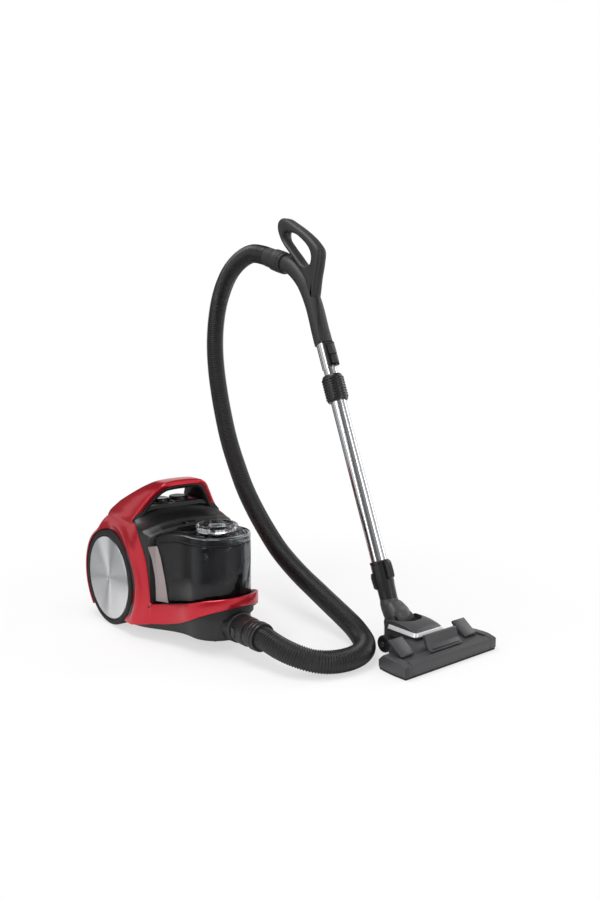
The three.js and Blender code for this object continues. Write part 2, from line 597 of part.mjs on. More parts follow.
// ---- Wand: pieces stand on Z from the neck's foot and lean back together ----
const wandFrame = new THREE.Matrix4().makeRotationX(-wandLean).setPosition(wandX, neckFootY, neckFootZ);
const onWand = s => v3(0, 0, s).applyMatrix4(wandFrame);
const outerTube = () => solid(tube(tubeRadius, innerTubeRadius + boreGap, outerTubeStart,
  sleeveStart + sleeveLength - 7));
const lockHalf = 7;
const lockLow = collarStart + 15;
const lockHigh = gripStart - 3;
const lockWindow = () => box(-lockHalf - boreGap, lockHalf + boreGap, -30, -8, lockLow - boreGap,
  lockHigh + boreGap);
const innerTube = () => solid(tube(innerTubeRadius, innerTubeRadius - tubeWall, innerTubeStart,
  gripStart + 22))
  .subtract(lockWindow());
const wandCollar = () => solid(tube(tubeRadius, innerTubeRadius + gap, collarStart, gripStart - gap))
  .subtract(lockWindow());
const lockButton = () => box(-lockHalf, lockHalf, -24, -16.6, lockLow, lockHigh);
function telescopeSleeve() {
  const bore = tubeRadius + gap;
  const low = sleeveStart;
  const high = sleeveStart + sleeveLength;
  return solid(turned([[bore, low], [sleeveRadius - 2, low], [sleeveRadius, low + 5],
    [sleeveRadius, high - 8], [sleeveRadius - 2, high], [bore, high], [bore, low]]));
}
function neckCuff() {
  const bore = tubeRadius + gap;
  const body = solid(turned([[15.5, gap], [neckRadius - 2, gap], [neckRadius - 2, 28], [neckRadius, 34],
    [neckRadius, neckLength], [bore, neckLength], [bore, 30], [15.5, 30], [15.5, gap]]));
  const tab = box(-5, 5, 15, 24, 12, 44).subtract(solid(rod(17.9, 0, 100)));
  const pocket = box(-8 - boreGap, 8 + boreGap, -40, 2.1 - neckRadius, 49 - boreGap, 86 + boreGap);
  return body.add(tab).subtract(pocket);
}
const neckLatch = () => box(-8, 8, -neckRadius - 4.5, -neckRadius - gap, 49, 86);

// ---- Grip: a bent duct with the loop handle over it ----
const loopPoints = [[-234, 735], [-241, 783], [-250, 819], [-252, 846], [-233, 868], [-198, 893],
  [-159, 915], [-130, 929], [-112, 931], [-101, 923], [-99, 908], [-107, 888], [-122, 868], [-143, 848],
  [-168, 824], [-195, 795], [-212, 760]];
const loopHole = [[-123, 899], [-160, 895], [-190, 879], [-218, 855], [-227, 835], [-223, 819], [-210, 812],
  [-191, 818], [-166, 840], [-140, 864], [-123, 883]];
function smoothLoop(points) {
  const curve = new THREE.CatmullRomCurve3(points.map(([y, z]) => v3(y, z, 0)), true, 'centripetal');
  return new THREE.Shape(curve.getPoints(2 * points.length).slice(0, -1).map(p => v2(p.x, p.y)));
}
// The dark strip let into the grip's front face, in (y, z), and its groove, which is a little larger.
const inlaySide = grow => outline([[-256, 838 + grow], [-253.5, 819], [-244.5, 783], [-239, 748 - grow],
  [-232 + grow, 748 - grow], [-238 + grow, 783], [-246.5 + grow, 819], [-249 + grow, 838 + grow]]);
function gripBody() {
  const middle = [onWand(gripStart + 30), ...ductRoute.map(([y, z]) => v3(wandX, y, z)),
    cuffFoot.clone().addScaledVector(cuffAxis, -18)];
  const duct = [onWand(gripStart), ...middle, cuffFoot.clone().addScaledVector(cuffAxis, -runGap)];
  const bore = [onWand(gripStart - 5), ...middle, cuffFoot.clone().addScaledVector(cuffAxis, 4)];
  const half = gripWidth / 2;
  const loop = prismX(smoothLoop(loopPoints), wandX - half, wandX + half)
    .subtract(prismX(smoothLoop(loopHole), wandX - half - 1, wandX + half + 1));
  const groove = prismX(inlaySide(gap), wandX - inlayWidth / 2 - gap, wandX + inlayWidth / 2 + gap);
  return bentRod(ductRadius, duct, 9, 8).add(loop).subtract(groove)
    .subtract(bentRod(innerTubeRadius + 2 * gap, bore, 9, 8));
}
const gripInlay = () => prismX(inlaySide(0), wandX - inlayWidth / 2, wandX + inlayWidth / 2)
  .intersect(prismX(smoothLoop(loopPoints.map(([y, z]) => [y - 0.6, z])), wandX - gripWidth,
  wandX + gripWidth));
const gripCuff = () => solid(turned([[18, 0], [gripCuffRadius - 1.5, 0], [gripCuffRadius - 1.5, 40],
  [gripCuffRadius, 44], [gripCuffRadius, gripCuffLength], [18, gripCuffLength], [18, 0]]));

// ---- Floor head ----
const headRearY = headFrontY + headDepth;
const headHalf = headWidth / 2;
const slabLow = soleThickness + gap;
const cheekX = drumHalf + runGap;
const headWheelY = pivotY - 14;
function elbow() {
  const drum = solid(alongX(rod(drumRadius, -drumHalf, drumHalf), wandX, pivotY, pivotZ));
  const path = [onWand(0), onWand(-12), v3(wandX, (neckFootY + pivotY) / 2 + 4, 68),
    v3(wandX, pivotY + 4, pivotZ + 4)];
  const bore = solid(alongX(rod(pivotPin + gap, -40, 40, 16), wandX, pivotY, pivotZ));
  return drum.add(bentRod(neckRadius - 2.5, path, 5, 8)).subtract(bore);
}
function headBody() {
  const slab = outline([[headFrontY, slabLow], [headFrontY, headHeight - 3], [headFrontY + 3, headHeight],
    [headRearY - 12, headHeight], [headRearY, headHeight - 12], [headRearY, slabLow]]);
  const hollow = box(wandX - headHalf + headWall, wandX + headHalf - headWall, headFrontY + headWall,
    headRearY - headWall, 0, headHeight - 7);
  const carrier = prismX(outline([[headRearY - 10, 8], [pivotY + 12, 8], [pivotY + 12, 22],
    [headRearY - 10, 28]]),
    wandX - headWheelX + 2, wandX + headWheelX - 2);
  const cheek =
    outline([[headRearY - 8, 10], [pivotY + 14, 10], [pivotY + 14, pivotZ + 4], [pivotY + 6, pivotZ + 12],
    [pivotY - 8, pivotZ + 12], [headRearY - 8, 30]]);
  const cheeks = bothSides(s => prismX(cheek, 0,
    cheekWidth).translate(wandX + s * cheekX - (s < 0 ? cheekWidth : 0), 0, 0));
  const pins = bothSides(s => sideRod(s, wandX, cheekX - 10, cheekX + 2, pivotPin, pivotY, pivotZ, 16));
  const sweep = solid(alongX(rod(drumRadius + 1, -cheekX, cheekX), wandX, pivotY, pivotZ));
  const axles = bothSides(s => sideRod(s, wandX, headWheelX - 4, headWheelX + headWheelWidth + 4, 4,
    headWheelY,
    headWheelRadius, 12));
  const pad = outline([[-622, headHeight - 1], [-627, headHeight + 2], [-593, headHeight + 26],
    [-588, headHeight + 21], [-596, headHeight - 1]]);
  const pads = bothSides(s => prismX(pad, 0, padWidth).translate(wandX + s * padX - padWidth / 2, 0, 0));
  const ears = bothSides(s => sideBox(s, wandX, pedalHalf + 1, pedalHalf + 5.5, pedalY - 6, pedalY + 6,
    headHeight - 1, pedalZ + 5)).subtract(solid(alongX(rod(pedalPin + gap, -60, 60, 12), wandX, pedalY,
    pedalZ)));
  return prismX(slab, wandX - headHalf, wandX + headHalf).subtract(hollow).add(carrier).add(cheeks)
    .subtract(sweep).add(pins).add(axles).add(pads).add(ears);
}
const sideTurned = (s, profile) => solid(alongX(turned(profile.map(([r, h]) => [r, s * (headWheelX + h)])),
  wandX, headWheelY, headWheelRadius));
const headWheel = s => sideTurned(s, [[4 + boreGap, 0], [headWheelRadius - 2, 0], [headWheelRadius, 2],
  [headWheelRadius, headWheelWidth], [4 + boreGap, headWheelWidth], [4 + boreGap, 0]]);

function headCover() {
  const low = headHeight + gap;
  const profile = t => outline([[coverFrontY + t, low - t], [coverFrontY + t, coverFrontZ - t],
    ...coverRidge.map(([y, z], k) => [k ? y : y + t, z - t]), [pivotY + 6 - t, pivotZ + 14 - t],
    [pivotY + 11 - t, pivotZ], [pivotY + 3 - t, low - t]]);
  const x = cheekX + cheekWidth + gap;
  const opening = box(wandX - x, wandX + x, pivotY - drumRadius - 3, pivotY + 40, 0, 100);
  return prismX(profile(0), wandX - coverHalf, wandX + coverHalf)
    .subtract(prismX(profile(trimWidth), wandX - coverHalf + trimWidth, wandX + coverHalf - trimWidth))
    .subtract(opening);
}
function chromeTrim() {
  const x = coverHalf + gap;
  const frontY = coverFrontY - gap;
  return box(wandX - x - trimWidth, wandX + x + trimWidth, frontY - trimWidth, pivotY - 8, trimLow,
    trimHigh).subtract(box(wandX - x, wandX + x, frontY, pivotY, trimLow - 1, trimHigh + 1));
}
function headPedal() {
  const hood =
    outline([[headFrontY + 5, headHeight + 1], [headFrontY + 5, headHeight + 3.5],
    [pedalY - 19, pedalZ - 2], [pedalY - 14, pedalZ + 3], [pedalY - 8, pedalZ + 21],
    [pedalY + 4, pedalZ + 20], [pedalY + 12, pedalZ + 8], [pedalY + 10, pedalZ - 6]]);
  return prismX(hood, wandX - pedalHalf, wandX + pedalHalf)
    .add(solid(alongX(rod(pedalPin, -pedalHalf - 4, pedalHalf + 4, 12), wandX, pedalY, pedalZ)));
}
const stripFrontY = headFrontY + 6;
const stripRearY = headRearY - 16;
function brushFrame() {
  const strips =
    union([stripFrontY, stripRearY].map(y => box(wandX - brushHalf, wandX + brushHalf, y, y + stripDepth,
    soleThickness - 1, stripTop)));
  const bars = bothSides(s => sideBox(s, wandX, brushHalf - 5, brushHalf, stripFrontY,
    stripRearY + stripDepth,
    stripTop - 4, stripTop));
  return strips.add(bars);
}
function solePlate() {
  const plate = box(wandX - headHalf + 1, wandX + headHalf - 1, headFrontY + 1, headRearY - 1, 0,
    soleThickness);
  const slots =
    union([stripFrontY, stripRearY].map(y => box(wandX - brushHalf - boreGap, wandX + brushHalf + boreGap,
    y - boreGap, y + stripDepth + boreGap, -1, soleThickness + 1)));
  const mouth = box(wandX - 100, wandX + 100, headFrontY + 28, headFrontY + 50, -1, soleThickness + 1);
  return plate.subtract(slots).subtract(mouth);
}

// ---- Assembly ----
const model = new THREE.Group();
const canister = new THREE.Group();
const bin = new THREE.Group();
const wand = new THREE.Group();
const head = new THREE.Group();
model.add(canister, bin, wand, head);

canister.add(
  part('base_housing', baseHousing(), blackPlastic),
  part('body_shell', bodyShell(), redPaint),
  part('front_band', frontBand(), redPaint),
  part('bin_tray', binTray(), blackPlastic),
  part('handle_cover', handleCover(), redPaint),
  part('handle_liner', handleLiner(), blackPlastic),
  part('console', consolePiece(), blackPlastic),
  part('bin_release_button', binRelease(), glossBlack),
  part('control_deck', controlDeck(), blackPlastic),
  part('exhaust_grille', exhaustGrille(), blackPlastic),
  part('exhaust_filter', exhaustFilter(), filterFoam),
  part('cord_gland', cordGland(), rubber),
  part('motor_housing', motorHousing(), greyPlastic),
  part('motor', motorUnit(), steel),
  part('cord_reel_drum', reelDrum(), greyPlastic),
  part('reel_pin', reelPin(), steel),
  part('port_collar', portCollar(), blackPlastic),
  part('hose_connector', hoseConnector(), blackPlastic),
  part('connector_latch_left', latchButton(-1), glossBlack),
  part('connector_latch_right', latchButton(1), glossBlack),
  part('lower_hose_cuff', lowerCuff(), blackPlastic),
);
const buttons = [['power_button', -buttonX, chrome], ['rewind_button', buttonX, glossBlack]];
for (const [name, x, material] of buttons) {
  const button = part(name, pushButton(), material);
  button.position.set(x, buttonY, deckTop);
  canister.add(button);
}
const fan = part('motor_fan', motorFan(), greyPlastic);
fan.rotation.x = Math.PI / 2;
fan.position.set(motorX, 0, motorZ);
canister.add(fan);
for (const [side, turn] of [['left', -1], ['right', 1]]) {
  const wheel = new THREE.Group();
  wheel.position.set(turn * tyreInnerX, 0, wheelRadius);
  wheel.rotation.z = turn < 0 ? Math.PI : 0;
  wheel.add(part(`wheel_tyre_${side}`, wheelTyre(), rubber), part(`wheel_hub_${side}`, wheelHub(),
    blackPlastic),
    part(`wheel_disc_${side}`, wheelDisc(), brushedAluminium));
  canister.add(wheel);
}
const caster = new THREE.Group();
caster.position.set(0, casterY, 0);
caster.add(part('caster_fork', casterFork(), blackPlastic), part('caster_wheel', casterWheel(), rubber));
canister.add(caster);

bin.add(
  part('bin_container', binContainer(), smokyClear),
  part('bin_seal', binSeal(), rubber),
  part('bin_lid', binLid(), smokyClear),
  part('bin_knob', binKnob(), smokyClear),
  part('cyclone_cone', cycloneCone(), greyPlastic),
  part('vortex_finder', vortexFinder(), blackPlastic),
  part('filter_cassette', filterCassette(), filterFoam),
);

model.add(part('grip_body', gripBody(), blackPlastic), part('grip_inlay', gripInlay(), glossBlack));
const cuff = part('grip_hose_cuff', gripCuff(), blackPlastic);
cuff.quaternion.setFromUnitVectors(v3(0, 0, 1), cuffAxis);
cuff.position.copy(cuffFoot);
model.add(cuff);

wand.add(
  part('outer_tube', outerTube(), chrome),
  part('inner_tube', innerTube(), chrome),
  part('wand_collar', wandCollar(), chrome),
  part('lock_button', lockButton(), blackPlastic),
  part('telescope_sleeve', telescopeSleeve(), blackPlastic),
  part('neck_cuff', neckCuff(), blackPlastic),
  part('neck_latch', neckLatch(), blackPlastic),
);
wand.applyMatrix4(wandFrame);

head.add(
  part('elbow', elbow(), blackPlastic),
  part('head_body', headBody(), greyPlastic),
  part('head_cover', headCover(), greyPlastic),
  part('chrome_trim', chromeTrim(), chrome),
  part('head_pedal', headPedal(), greyPlastic),
  part('brush_frame', brushFrame(), bristle),
  part('sole_plate', solePlate(), blackPlastic),
  part('head_wheel_left', headWheel(-1), rubber),
  part('head_wheel_right', headWheel(1), rubber),
);

// The origin lies on the floor under the middle of everything but the hose.
const middle = new THREE.Box3().setFromObject(model).getCenter(v3(0, 0, 0));
model.add(part('hose', hosePiece(), blackPlastic));
model.position.set(-middle.x, -middle.y, 0);

export default model;
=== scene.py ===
import math

import bmesh
import bpy
import numpy as np
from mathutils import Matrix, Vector


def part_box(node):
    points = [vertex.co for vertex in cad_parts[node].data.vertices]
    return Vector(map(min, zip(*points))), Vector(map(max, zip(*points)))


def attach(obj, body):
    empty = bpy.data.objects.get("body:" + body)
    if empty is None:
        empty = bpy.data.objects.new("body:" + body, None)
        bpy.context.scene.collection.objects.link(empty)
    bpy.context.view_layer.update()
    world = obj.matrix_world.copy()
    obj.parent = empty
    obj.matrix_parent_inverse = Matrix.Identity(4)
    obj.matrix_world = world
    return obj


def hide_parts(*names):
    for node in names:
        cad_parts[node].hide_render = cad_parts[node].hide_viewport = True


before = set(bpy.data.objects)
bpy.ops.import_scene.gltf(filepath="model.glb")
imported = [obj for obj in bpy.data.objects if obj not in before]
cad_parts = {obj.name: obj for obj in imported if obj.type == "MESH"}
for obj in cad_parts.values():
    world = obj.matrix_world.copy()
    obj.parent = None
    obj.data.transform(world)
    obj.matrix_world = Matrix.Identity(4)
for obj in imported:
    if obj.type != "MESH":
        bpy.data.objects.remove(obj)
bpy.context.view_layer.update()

# ---- Camera, light and floor ----
# The cleaner stands on a pale studio floor and is seen from its front left, a little from above.
# Tall soft strips give plastic and metal their long highlights, and a plain white room lies behind.
left_tyre, right_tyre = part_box("wheel_tyre_left"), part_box("wheel_tyre_right")
middle_x = (left_tyre[0].x + right_tyre[1].x) / 2
axle_y = (left_tyre[0].y + left_tyre[1].y) / 2
AXLE_HEIGHT = 1000 * (left_tyre[0].z + left_tyre[1].z) / 2


def at(x, y, z):
    """A place in millimetres from the floor under the middle of the rear axle."""
    return Vector((middle_x + x / 1000, axle_y + y / 1000, z / 1000))


def extent(node_name):
    """A solid's lowest and highest corners, as at() measures them."""
    return [np.array((1000 * (c.x - middle_x), 1000 * (c.y - axle_y), 1000 * c.z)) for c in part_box(node_name)]


camera = bpy.data.objects.new("camera", bpy.data.cameras.new("camera"))
camera.data.lens = 34
camera.data.sensor_width = 36
camera.location = at(-970.11, -1746.38, 648.02)
camera.rotation_euler = (math.radians(90 - 7.4156), 0, math.radians(-38.782))
bpy.context.collection.objects.link(camera)
bpy.context.scene.camera = camera
bpy.context.scene.view_settings.view_transform = "Standard"


def softbox(name, place, aim, width, height, power):
    """A rectangular lamp in metres and watts, turned towards its aim."""
    lamp = bpy.data.lights.new(name, "AREA")
    lamp.shape = "RECTANGLE"
    lamp.size, lamp.size_y, lamp.energy = width, height, power
    box = bpy.data.objects.new(name, lamp)
    box.location = place
    box.rotation_euler = (Vector(aim) - Vector(place)).to_track_quat("-Z", "Y").to_euler()
    bpy.context.collection.objects.link(box)


softbox("left_strip", (-1.95, -0.3, 1.0), (-0.1, 0, 0.2), 0.5, 1.8, 11)
softbox("front_strip", (0.55, -2.6, 1.25), (0, 0, 0.3), 0.5, 1.6, 13)
softbox("right_strip", (2.05, -0.5, 1.2), (0, 0, 0.3), 0.5, 1.8, 12)
softbox("top_box", (-0.5, 0.2, 2.3), (0, 0, 0.2), 1.4, 1.1, 26)


def feed(tree, made, inputs):
    """Gives a node's inputs plain values or other nodes' outputs, and returns its own outputs."""
    for key, value in inputs.items() if isinstance(inputs, dict) else enumerate(inputs):
        if isinstance(value, bpy.types.NodeSocket):
            tree.links.new(value, made.inputs[key])
        else:
            made.inputs[key].default_value = value
    return made.outputs


def node(tree, kind, inputs=(), **settings):
    """A new node with its settings and inputs, as its outputs."""
    made = tree.nodes.new(kind)
    for label, value in settings.items():
        setattr(made, label, value)
    return feed(tree, made, inputs)


def calc(tree, operation, *values):
    """One step of arithmetic on sockets and numbers."""
    return node(tree, "ShaderNodeMath", values, operation=operation)[0]


def remap(tree, value, low, high, start=0.0, end=1.0, **settings):
    """A value carried from one range to another, and held at its ends."""
    ranges = {"Value": value, "From Min": low, "From Max": high, "To Min": start, "To Max": end}
    return node(tree, "ShaderNodeMapRange", ranges, **settings)["Result"]


WHITE = (1, 1, 1, 1)
room = bpy.data.worlds.new("studio_room")
bpy.context.scene.world = room
room.use_nodes = True
walls = room.node_tree
walls.nodes.clear()
seen = node(walls, "ShaderNodeLightPath")
direct_view = calc(walls, "MAXIMUM", seen["Is Camera Ray"], seen["Is Transmission Ray"])
direction = node(walls, "ShaderNodeTexCoord")["Generated"]
upward = node(walls, "ShaderNodeSeparateXYZ", [direction])["Z"]
ceiling = remap(walls, upward, 0.40, 0.80, 1.0, 0.22)
toward = [node(walls, "ShaderNodeVectorMath", [direction, heading], operation="DOT_PRODUCT")["Value"]
          for heading in ((0.7795, -0.6263, 0), (-0.6263, -0.7795, 0))]
bearing = remap(walls, calc(walls, "ARCTAN2", *toward), -math.pi, math.pi)
panels = node(walls, "ShaderNodeValToRGB", [bearing])["Color"]
# Each board or gap in the room: its bearing in degrees, and how bright it is.
boards = ((-180, 0.8), (-162, 0.8), (-154, 0.1), (-122, 0.06), (-119, 1.0), (-112, 1.0), (-109, 0.06), (-100, 0.1),
          (-84, 0.85), (-68, 0.85), (-56, 0.5), (-47, 0.14), (-24, 0.08), (-8, 0.24), (10, 0.36), (28, 0.4),
          (40, 0.8), (70, 0.8), (90, 0.55), (108, 0.6), (135, 0.85))
stops = panels.node.color_ramp.elements
for k, (degrees, brightness) in enumerate(boards):
    stop = stops[k] if k < 2 else stops.new((degrees + 180) / 360)
    stop.position = (degrees + 180) / 360
    stop.color = (brightness, brightness, brightness, 1)
mirrored_room = calc(walls, "MULTIPLY", panels, ceiling)
by_ray = node(walls, "ShaderNodeMix", {"Factor": seen["Is Glossy Ray"], "A": 0.42, "B": mirrored_room})[0]
level = calc(walls, "MAXIMUM", direct_view, by_ray)
node(walls, "ShaderNodeOutputWorld", [node(walls, "ShaderNodeBackground", {"Color": WHITE, "Strength": level})[0]])

FLOOR_HALF, FLOOR_DROP = 9, -0.0006
floor_mesh = bpy.data.meshes.new("studio_floor")
floor_mesh.from_pydata([(x * FLOOR_HALF, y * FLOOR_HALF, FLOOR_DROP) for x, y in ((-1, -1), (1, -1), (1, 1), (-1, 1))],
                       [], [(0, 1, 2, 3)])
studio_floor = bpy.data.objects.new("studio_floor", floor_mesh)
bpy.context.collection.objects.link(studio_floor)


def new_group(name, kind, sockets_in, sockets_out):
    """A node group: its tree, what its inputs give, and the node that takes its results."""
    group = bpy.data.node_groups.new(name, kind)
    for way, sockets in (("INPUT", sockets_in), ("OUTPUT", sockets_out)):
        for label, value_kind, *value in sockets:
            socket = group.interface.new_socket(label, in_out=way, socket_type="NodeSocket" + value_kind)
            if value:
                socket.default_value = value[0]
    return group, group.nodes.new("NodeGroupInput").outputs, group.nodes.new("NodeGroupOutput")


grain, given, grain_out = new_group(
    "moulded_grain", "ShaderNodeTree",
    [("Colour", "Color", (0.05, 0.05, 0.05, 1)), ("Unevenness", "Float", 0.15), ("Roughness", "Float", 0.5),
     ("Grain Size", "Float", 900.0)],
    [("Colour", "Color"), ("Roughness", "Float"), ("Height", "Float")])
grain_place = node(grain, "ShaderNodeTexCoord")["Object"]
cloud = node(grain, "ShaderNodeTexNoise", {"Vector": grain_place, "Scale": 14, "Detail": 3})["Fac"]
speck = node(grain, "ShaderNodeTexNoise", {"Vector": grain_place, "Scale": given["Grain Size"], "Detail": 2})["Fac"]
amount = calc(grain, "MULTIPLY_ADD", calc(grain, "SUBTRACT", cloud, 0.5), given["Unevenness"], 1.0)
shade = node(grain, "ShaderNodeVectorMath", {0: given["Colour"], "Scale": amount}, operation="SCALE")[0]
feed(grain, grain_out, {"Colour": shade, "Roughness": calc(grain, "MULTIPLY", amount, given["Roughness"]),
                        "Height": speck})


def finish(name, slot, colour, roughness, unevenness=0.15, grain_size=900.0, bump=0.08, **fixed):
    """A material on the moulded grain. The slot argument is not used. The fixed values go on the shader's own sockets.
    """
    material = bpy.data.materials.new(name)
    material.use_nodes = True
    tree = material.node_tree
    texture = node(tree, "ShaderNodeGroup", {"Colour": (*colour, 1), "Unevenness": unevenness, "Roughness": roughness,
                                             "Grain Size": grain_size}, node_tree=grain)
    relief = node(tree, "ShaderNodeBump", {"Strength": bump, "Distance": 0.0004, "Height": texture["Height"]})[0]
    feed(tree, tree.nodes["Principled BSDF"], {
        "Base Color": texture["Colour"], "Roughness": texture["Roughness"], "Normal": relief,
        **{label.replace("_", " "): value for label, value in fixed.items()}})
    return material


def linear(red, green, blue):
    """A colour as a painter reads it, 0 to 255, in the shader's own scale."""
    return tuple((v / 255 / 12.92) if v <= 10 else ((v / 255 + 0.055) / 1.055) ** 2.4 for v in (red, green, blue))


black_plastic = finish("satin_black_plastic", "black_plastic", linear(30, 30, 31), 0.36)
dark_plastic = finish("deep_black_plastic", "black_plastic", linear(17, 17, 18), 0.5)
gloss_black = finish("gloss_black_plastic", "gloss_black", linear(14, 14, 15), 0.1, grain_size=300, bump=0.02)
black_rubber = finish("black_rubber", "rubber", linear(26, 26, 27), 0.72, grain_size=500, bump=0.2)
red_paint = finish("metallic_red_paint", "red_paint", linear(196, 24, 44), 0.3, 0.10, 2600, 0.03, Metallic=0.6,
                   Coat_Weight=0.4, Coat_Roughness=0.1)
floor_paint = finish("pale_floor", None, (0.95, 0.95, 0.95), 0.9, 0.01, 40, 0.0, Specular_IOR_Level=0.1)
near_far = floor_paint.node_tree
floor_ray = node(near_far, "ShaderNodeLightPath")
floor_place = node(near_far, "ShaderNodeTexCoord")["Object"]
floor_reach = node(near_far, "ShaderNodeVectorMath", [floor_place], operation="LENGTH")["Value"]
fading = remap(near_far, floor_reach, 0.25, 1.1, 0.6, interpolation_type="SMOOTHSTEP")
white_far = calc(near_far, "MULTIPLY", fading, floor_ray["Is Camera Ray"])
white_glow = node(near_far, "ShaderNodeEmission", {"Color": WHITE})[0]
matt_floor = near_far.nodes["Principled BSDF"].outputs[0]
floor_mix = node(near_far, "ShaderNodeMixShader", [white_far, matt_floor, white_glow])[0]
open_to_room = calc(near_far, "MULTIPLY", remap(near_far, floor_reach, 0.55, 0.75), floor_ray["Is Glossy Ray"])
room_behind = node(near_far, "ShaderNodeBsdfTransparent")[0]
room_mix = node(near_far, "ShaderNodeMixShader", [open_to_room, floor_mix, room_behind])[0]
feed(near_far, near_far.nodes["Material Output"], {"Surface": room_mix})
floor_mesh.materials.append(floor_paint)


# ---- Hose ----
# A 46 mm corrugated hose of spiral-ribbed black plastic. It leaves the canister's port, lies on the
# floor in one bend, then stands up beside the canister and arches over into the grip of the wand.
HOSE_DIAMETER = 0.046
RIB_PITCH = 0.0052
RIB_DEPTH = 0.0022
hose_start = extent("lower_hose_cuff")[0][1] - 0.3
GRIP_END = np.array((296, -118, 826.2))
OUT_OF_GRIP = np.array((0, 77, 23)) / math.hypot(77, 23)
hose_end = GRIP_END + OUT_OF_GRIP * 71.3
hose_route = [
    (0, hose_start, 54.5), (0, hose_start - 12, 54.5), (0, -450, 52), (5, -476, 46), (18, -504, 38), (40, -530, 30),
    (68, -546, 25.5), (100, -554, 24), (134, -552, 24), (168, -536, 24), (196, -508, 24.5), (214, -476, 28),
    (226, -440, 36), (231, -400, 48), (234, -352, 64), (237, -300, 82), (240, -246, 101), (243, -196, 122),
    (247, -150, 144), (251, -106, 172), (256, -46, 218), (261, 8, 268), (266, 54, 325), (270, 93, 384),
    (275, 125, 445), (280, 152, 508), (285, 173, 570), (289, 184, 632), (293, 183, 695), (296, 166, 758),
    (296, 126, 813), (296, 78, 845), (296, 22, 860), tuple(hose_end + OUT_OF_GRIP * 20), tuple(hose_end)]


def through(points, steps=8, closed=False):
    """A smooth line through a few points: centripetal Catmull-Rom, with steps places to each span."""
    p = [np.array(q, float) for q in points]
    p = [p[-1], *p, p[0], p[1]] if closed else [2 * p[0] - p[1], *p, 2 * p[-1] - p[-2]]
    line = []
    for a, b, c, d in zip(p, p[1:], p[2:], p[3:]):
        ab, bc, cd = (max(np.linalg.norm(v) ** 0.5, 1e-6) for v in (b - a, c - b, d - c))
        m1 = (b - a) / ab - (c - a) / (ab + bc) + (c - b) / bc
        m2 = (c - b) / bc - (d - b) / (bc + cd) + (d - c) / cd
        m1, m2 = m1 * bc, m2 * bc
        for t in np.arange(steps) / steps:
            h = (2 * t**3 - 3 * t**2 + 1, t**3 - 2 * t**2 + t, 3 * t**2 - 2 * t**3, t**3 - t**2)
            line.append(h[0] * b + h[1] * m1 + h[2] * c + h[3] * m2)
    return line if closed else [*line, p[-2]]


def grow(source, tree, name, **values):
    """Runs a Geometry Nodes tree on an object and keeps what it makes as a plain mesh piece."""
    modifier = source.modifiers.new(tree.name, "NODES")
    modifier.node_group = tree
    for item in tree.interface.items_tree:
        label = item.name.lower().replace(" ", "_")
        if item.in_out == "INPUT" and label in values:
            modifier[item.identifier] = values[label]
    bpy.context.view_layer.update()
    ready = source.evaluated_get(bpy.context.evaluated_depsgraph_get())
    mesh = bpy.data.meshes.new_from_object(ready)
    mesh.name = name
    bpy.data.objects.remove(source)
    made = bpy.data.objects.new(name, mesh)
    bpy.context.collection.objects.link(made)
    return made


def end_with_paint(tree, geometry, paint, group_out):
    """Ends a Geometry Nodes tree: copies become real geometry, in one material."""
    solid = node(tree, "GeometryNodeRealizeInstances", [geometry])[0]
    feed(tree, group_out, [node(tree, "GeometryNodeSetMaterial", {"Geometry": solid, "Material": paint})[0]])


GEOMETRY = [("Geometry", "Geometry")]
ribbed, given, ribbed_out = new_group("corrugated_hose", "GeometryNodeTree", GEOMETRY + [
    ("Radius", "Float"), ("Pitch", "Float"), ("Depth", "Float"), ("Wall", "Material")], GEOMETRY)
step = calc(ribbed, "DIVIDE", given["Pitch"], 6)
steps = node(ribbed, "GeometryNodeResampleCurve", {"Curve": given["Geometry"], "Length": step}, mode="LENGTH")[0]
along = node(ribbed, "GeometryNodeSplineParameter")["Length"]
turns = calc(ribbed, "DIVIDE", along, given["Pitch"])
wave = calc(ribbed, "COSINE", calc(ribbed, "MULTIPLY", turns, math.tau))
half_depth = calc(ribbed, "MULTIPLY", given["Depth"], 0.5)
ripple = calc(ribbed, "MULTIPLY", wave, half_depth)
radius_here = calc(ribbed, "ADD", calc(ribbed, "SUBTRACT", given["Radius"], half_depth), ripple)
ring = node(ribbed, "GeometryNodeCurvePrimitiveCircle", {"Resolution": 28, "Radius": 1.0})["Curve"]
wall = node(ribbed, "GeometryNodeCurveToMesh", {"Curve": steps, "Profile Curve": ring, "Scale": radius_here,
                                                "Fill Caps": True})["Mesh"]
smooth_wall = node(ribbed, "GeometryNodeSetShadeSmooth", {"Geometry": wall})[0]
end_with_paint(ribbed, smooth_wall, given["Wall"], ribbed_out)

hose_line = [at(*p) for p in through(hose_route, 10)]
line_data = bpy.data.curves.new("hose_line", "CURVE")
line_data.dimensions = "3D"
line_spline = line_data.splines.new("POLY")
line_spline.points.add(len(hose_line) - 1)
for point, place in zip(line_spline.points, hose_line):
    point.co = (*place, 1)
hose_curve = bpy.data.objects.new("hose_line", line_data)
bpy.context.collection.objects.link(hose_curve)
hose_black = finish("hose_black_plastic", "black_plastic", linear(22, 22, 23), 0.38, 0.2, 700, 0.06)
hose = grow(hose_curve, ribbed, "ribbed_hose", radius=HOSE_DIAMETER / 2, pitch=RIB_PITCH, depth=RIB_DEPTH,
            wall=hose_black)
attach(hose, "canister")
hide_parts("hose")


# ---- Red body shell ----
# One moulding in metallic red paint. It follows the wheels at the rear and sides, with a rolled lip
# round each wheel arch and a soft ridge beside it, and it ends in front along the black console.
CASING_HALF = 131
UNDERSIDE = 27
CASING_TOP = 281
CASING_FRONT = -162.4
ARCH_RADIUS = 111.5
REAR_RADIUS = 117.5
SHELL_WALL = 2.6
GRILLE_HALF = 58
SHEET_COLUMNS = 16
NOSE = -258  # the middle of the round front of the casing and the bin


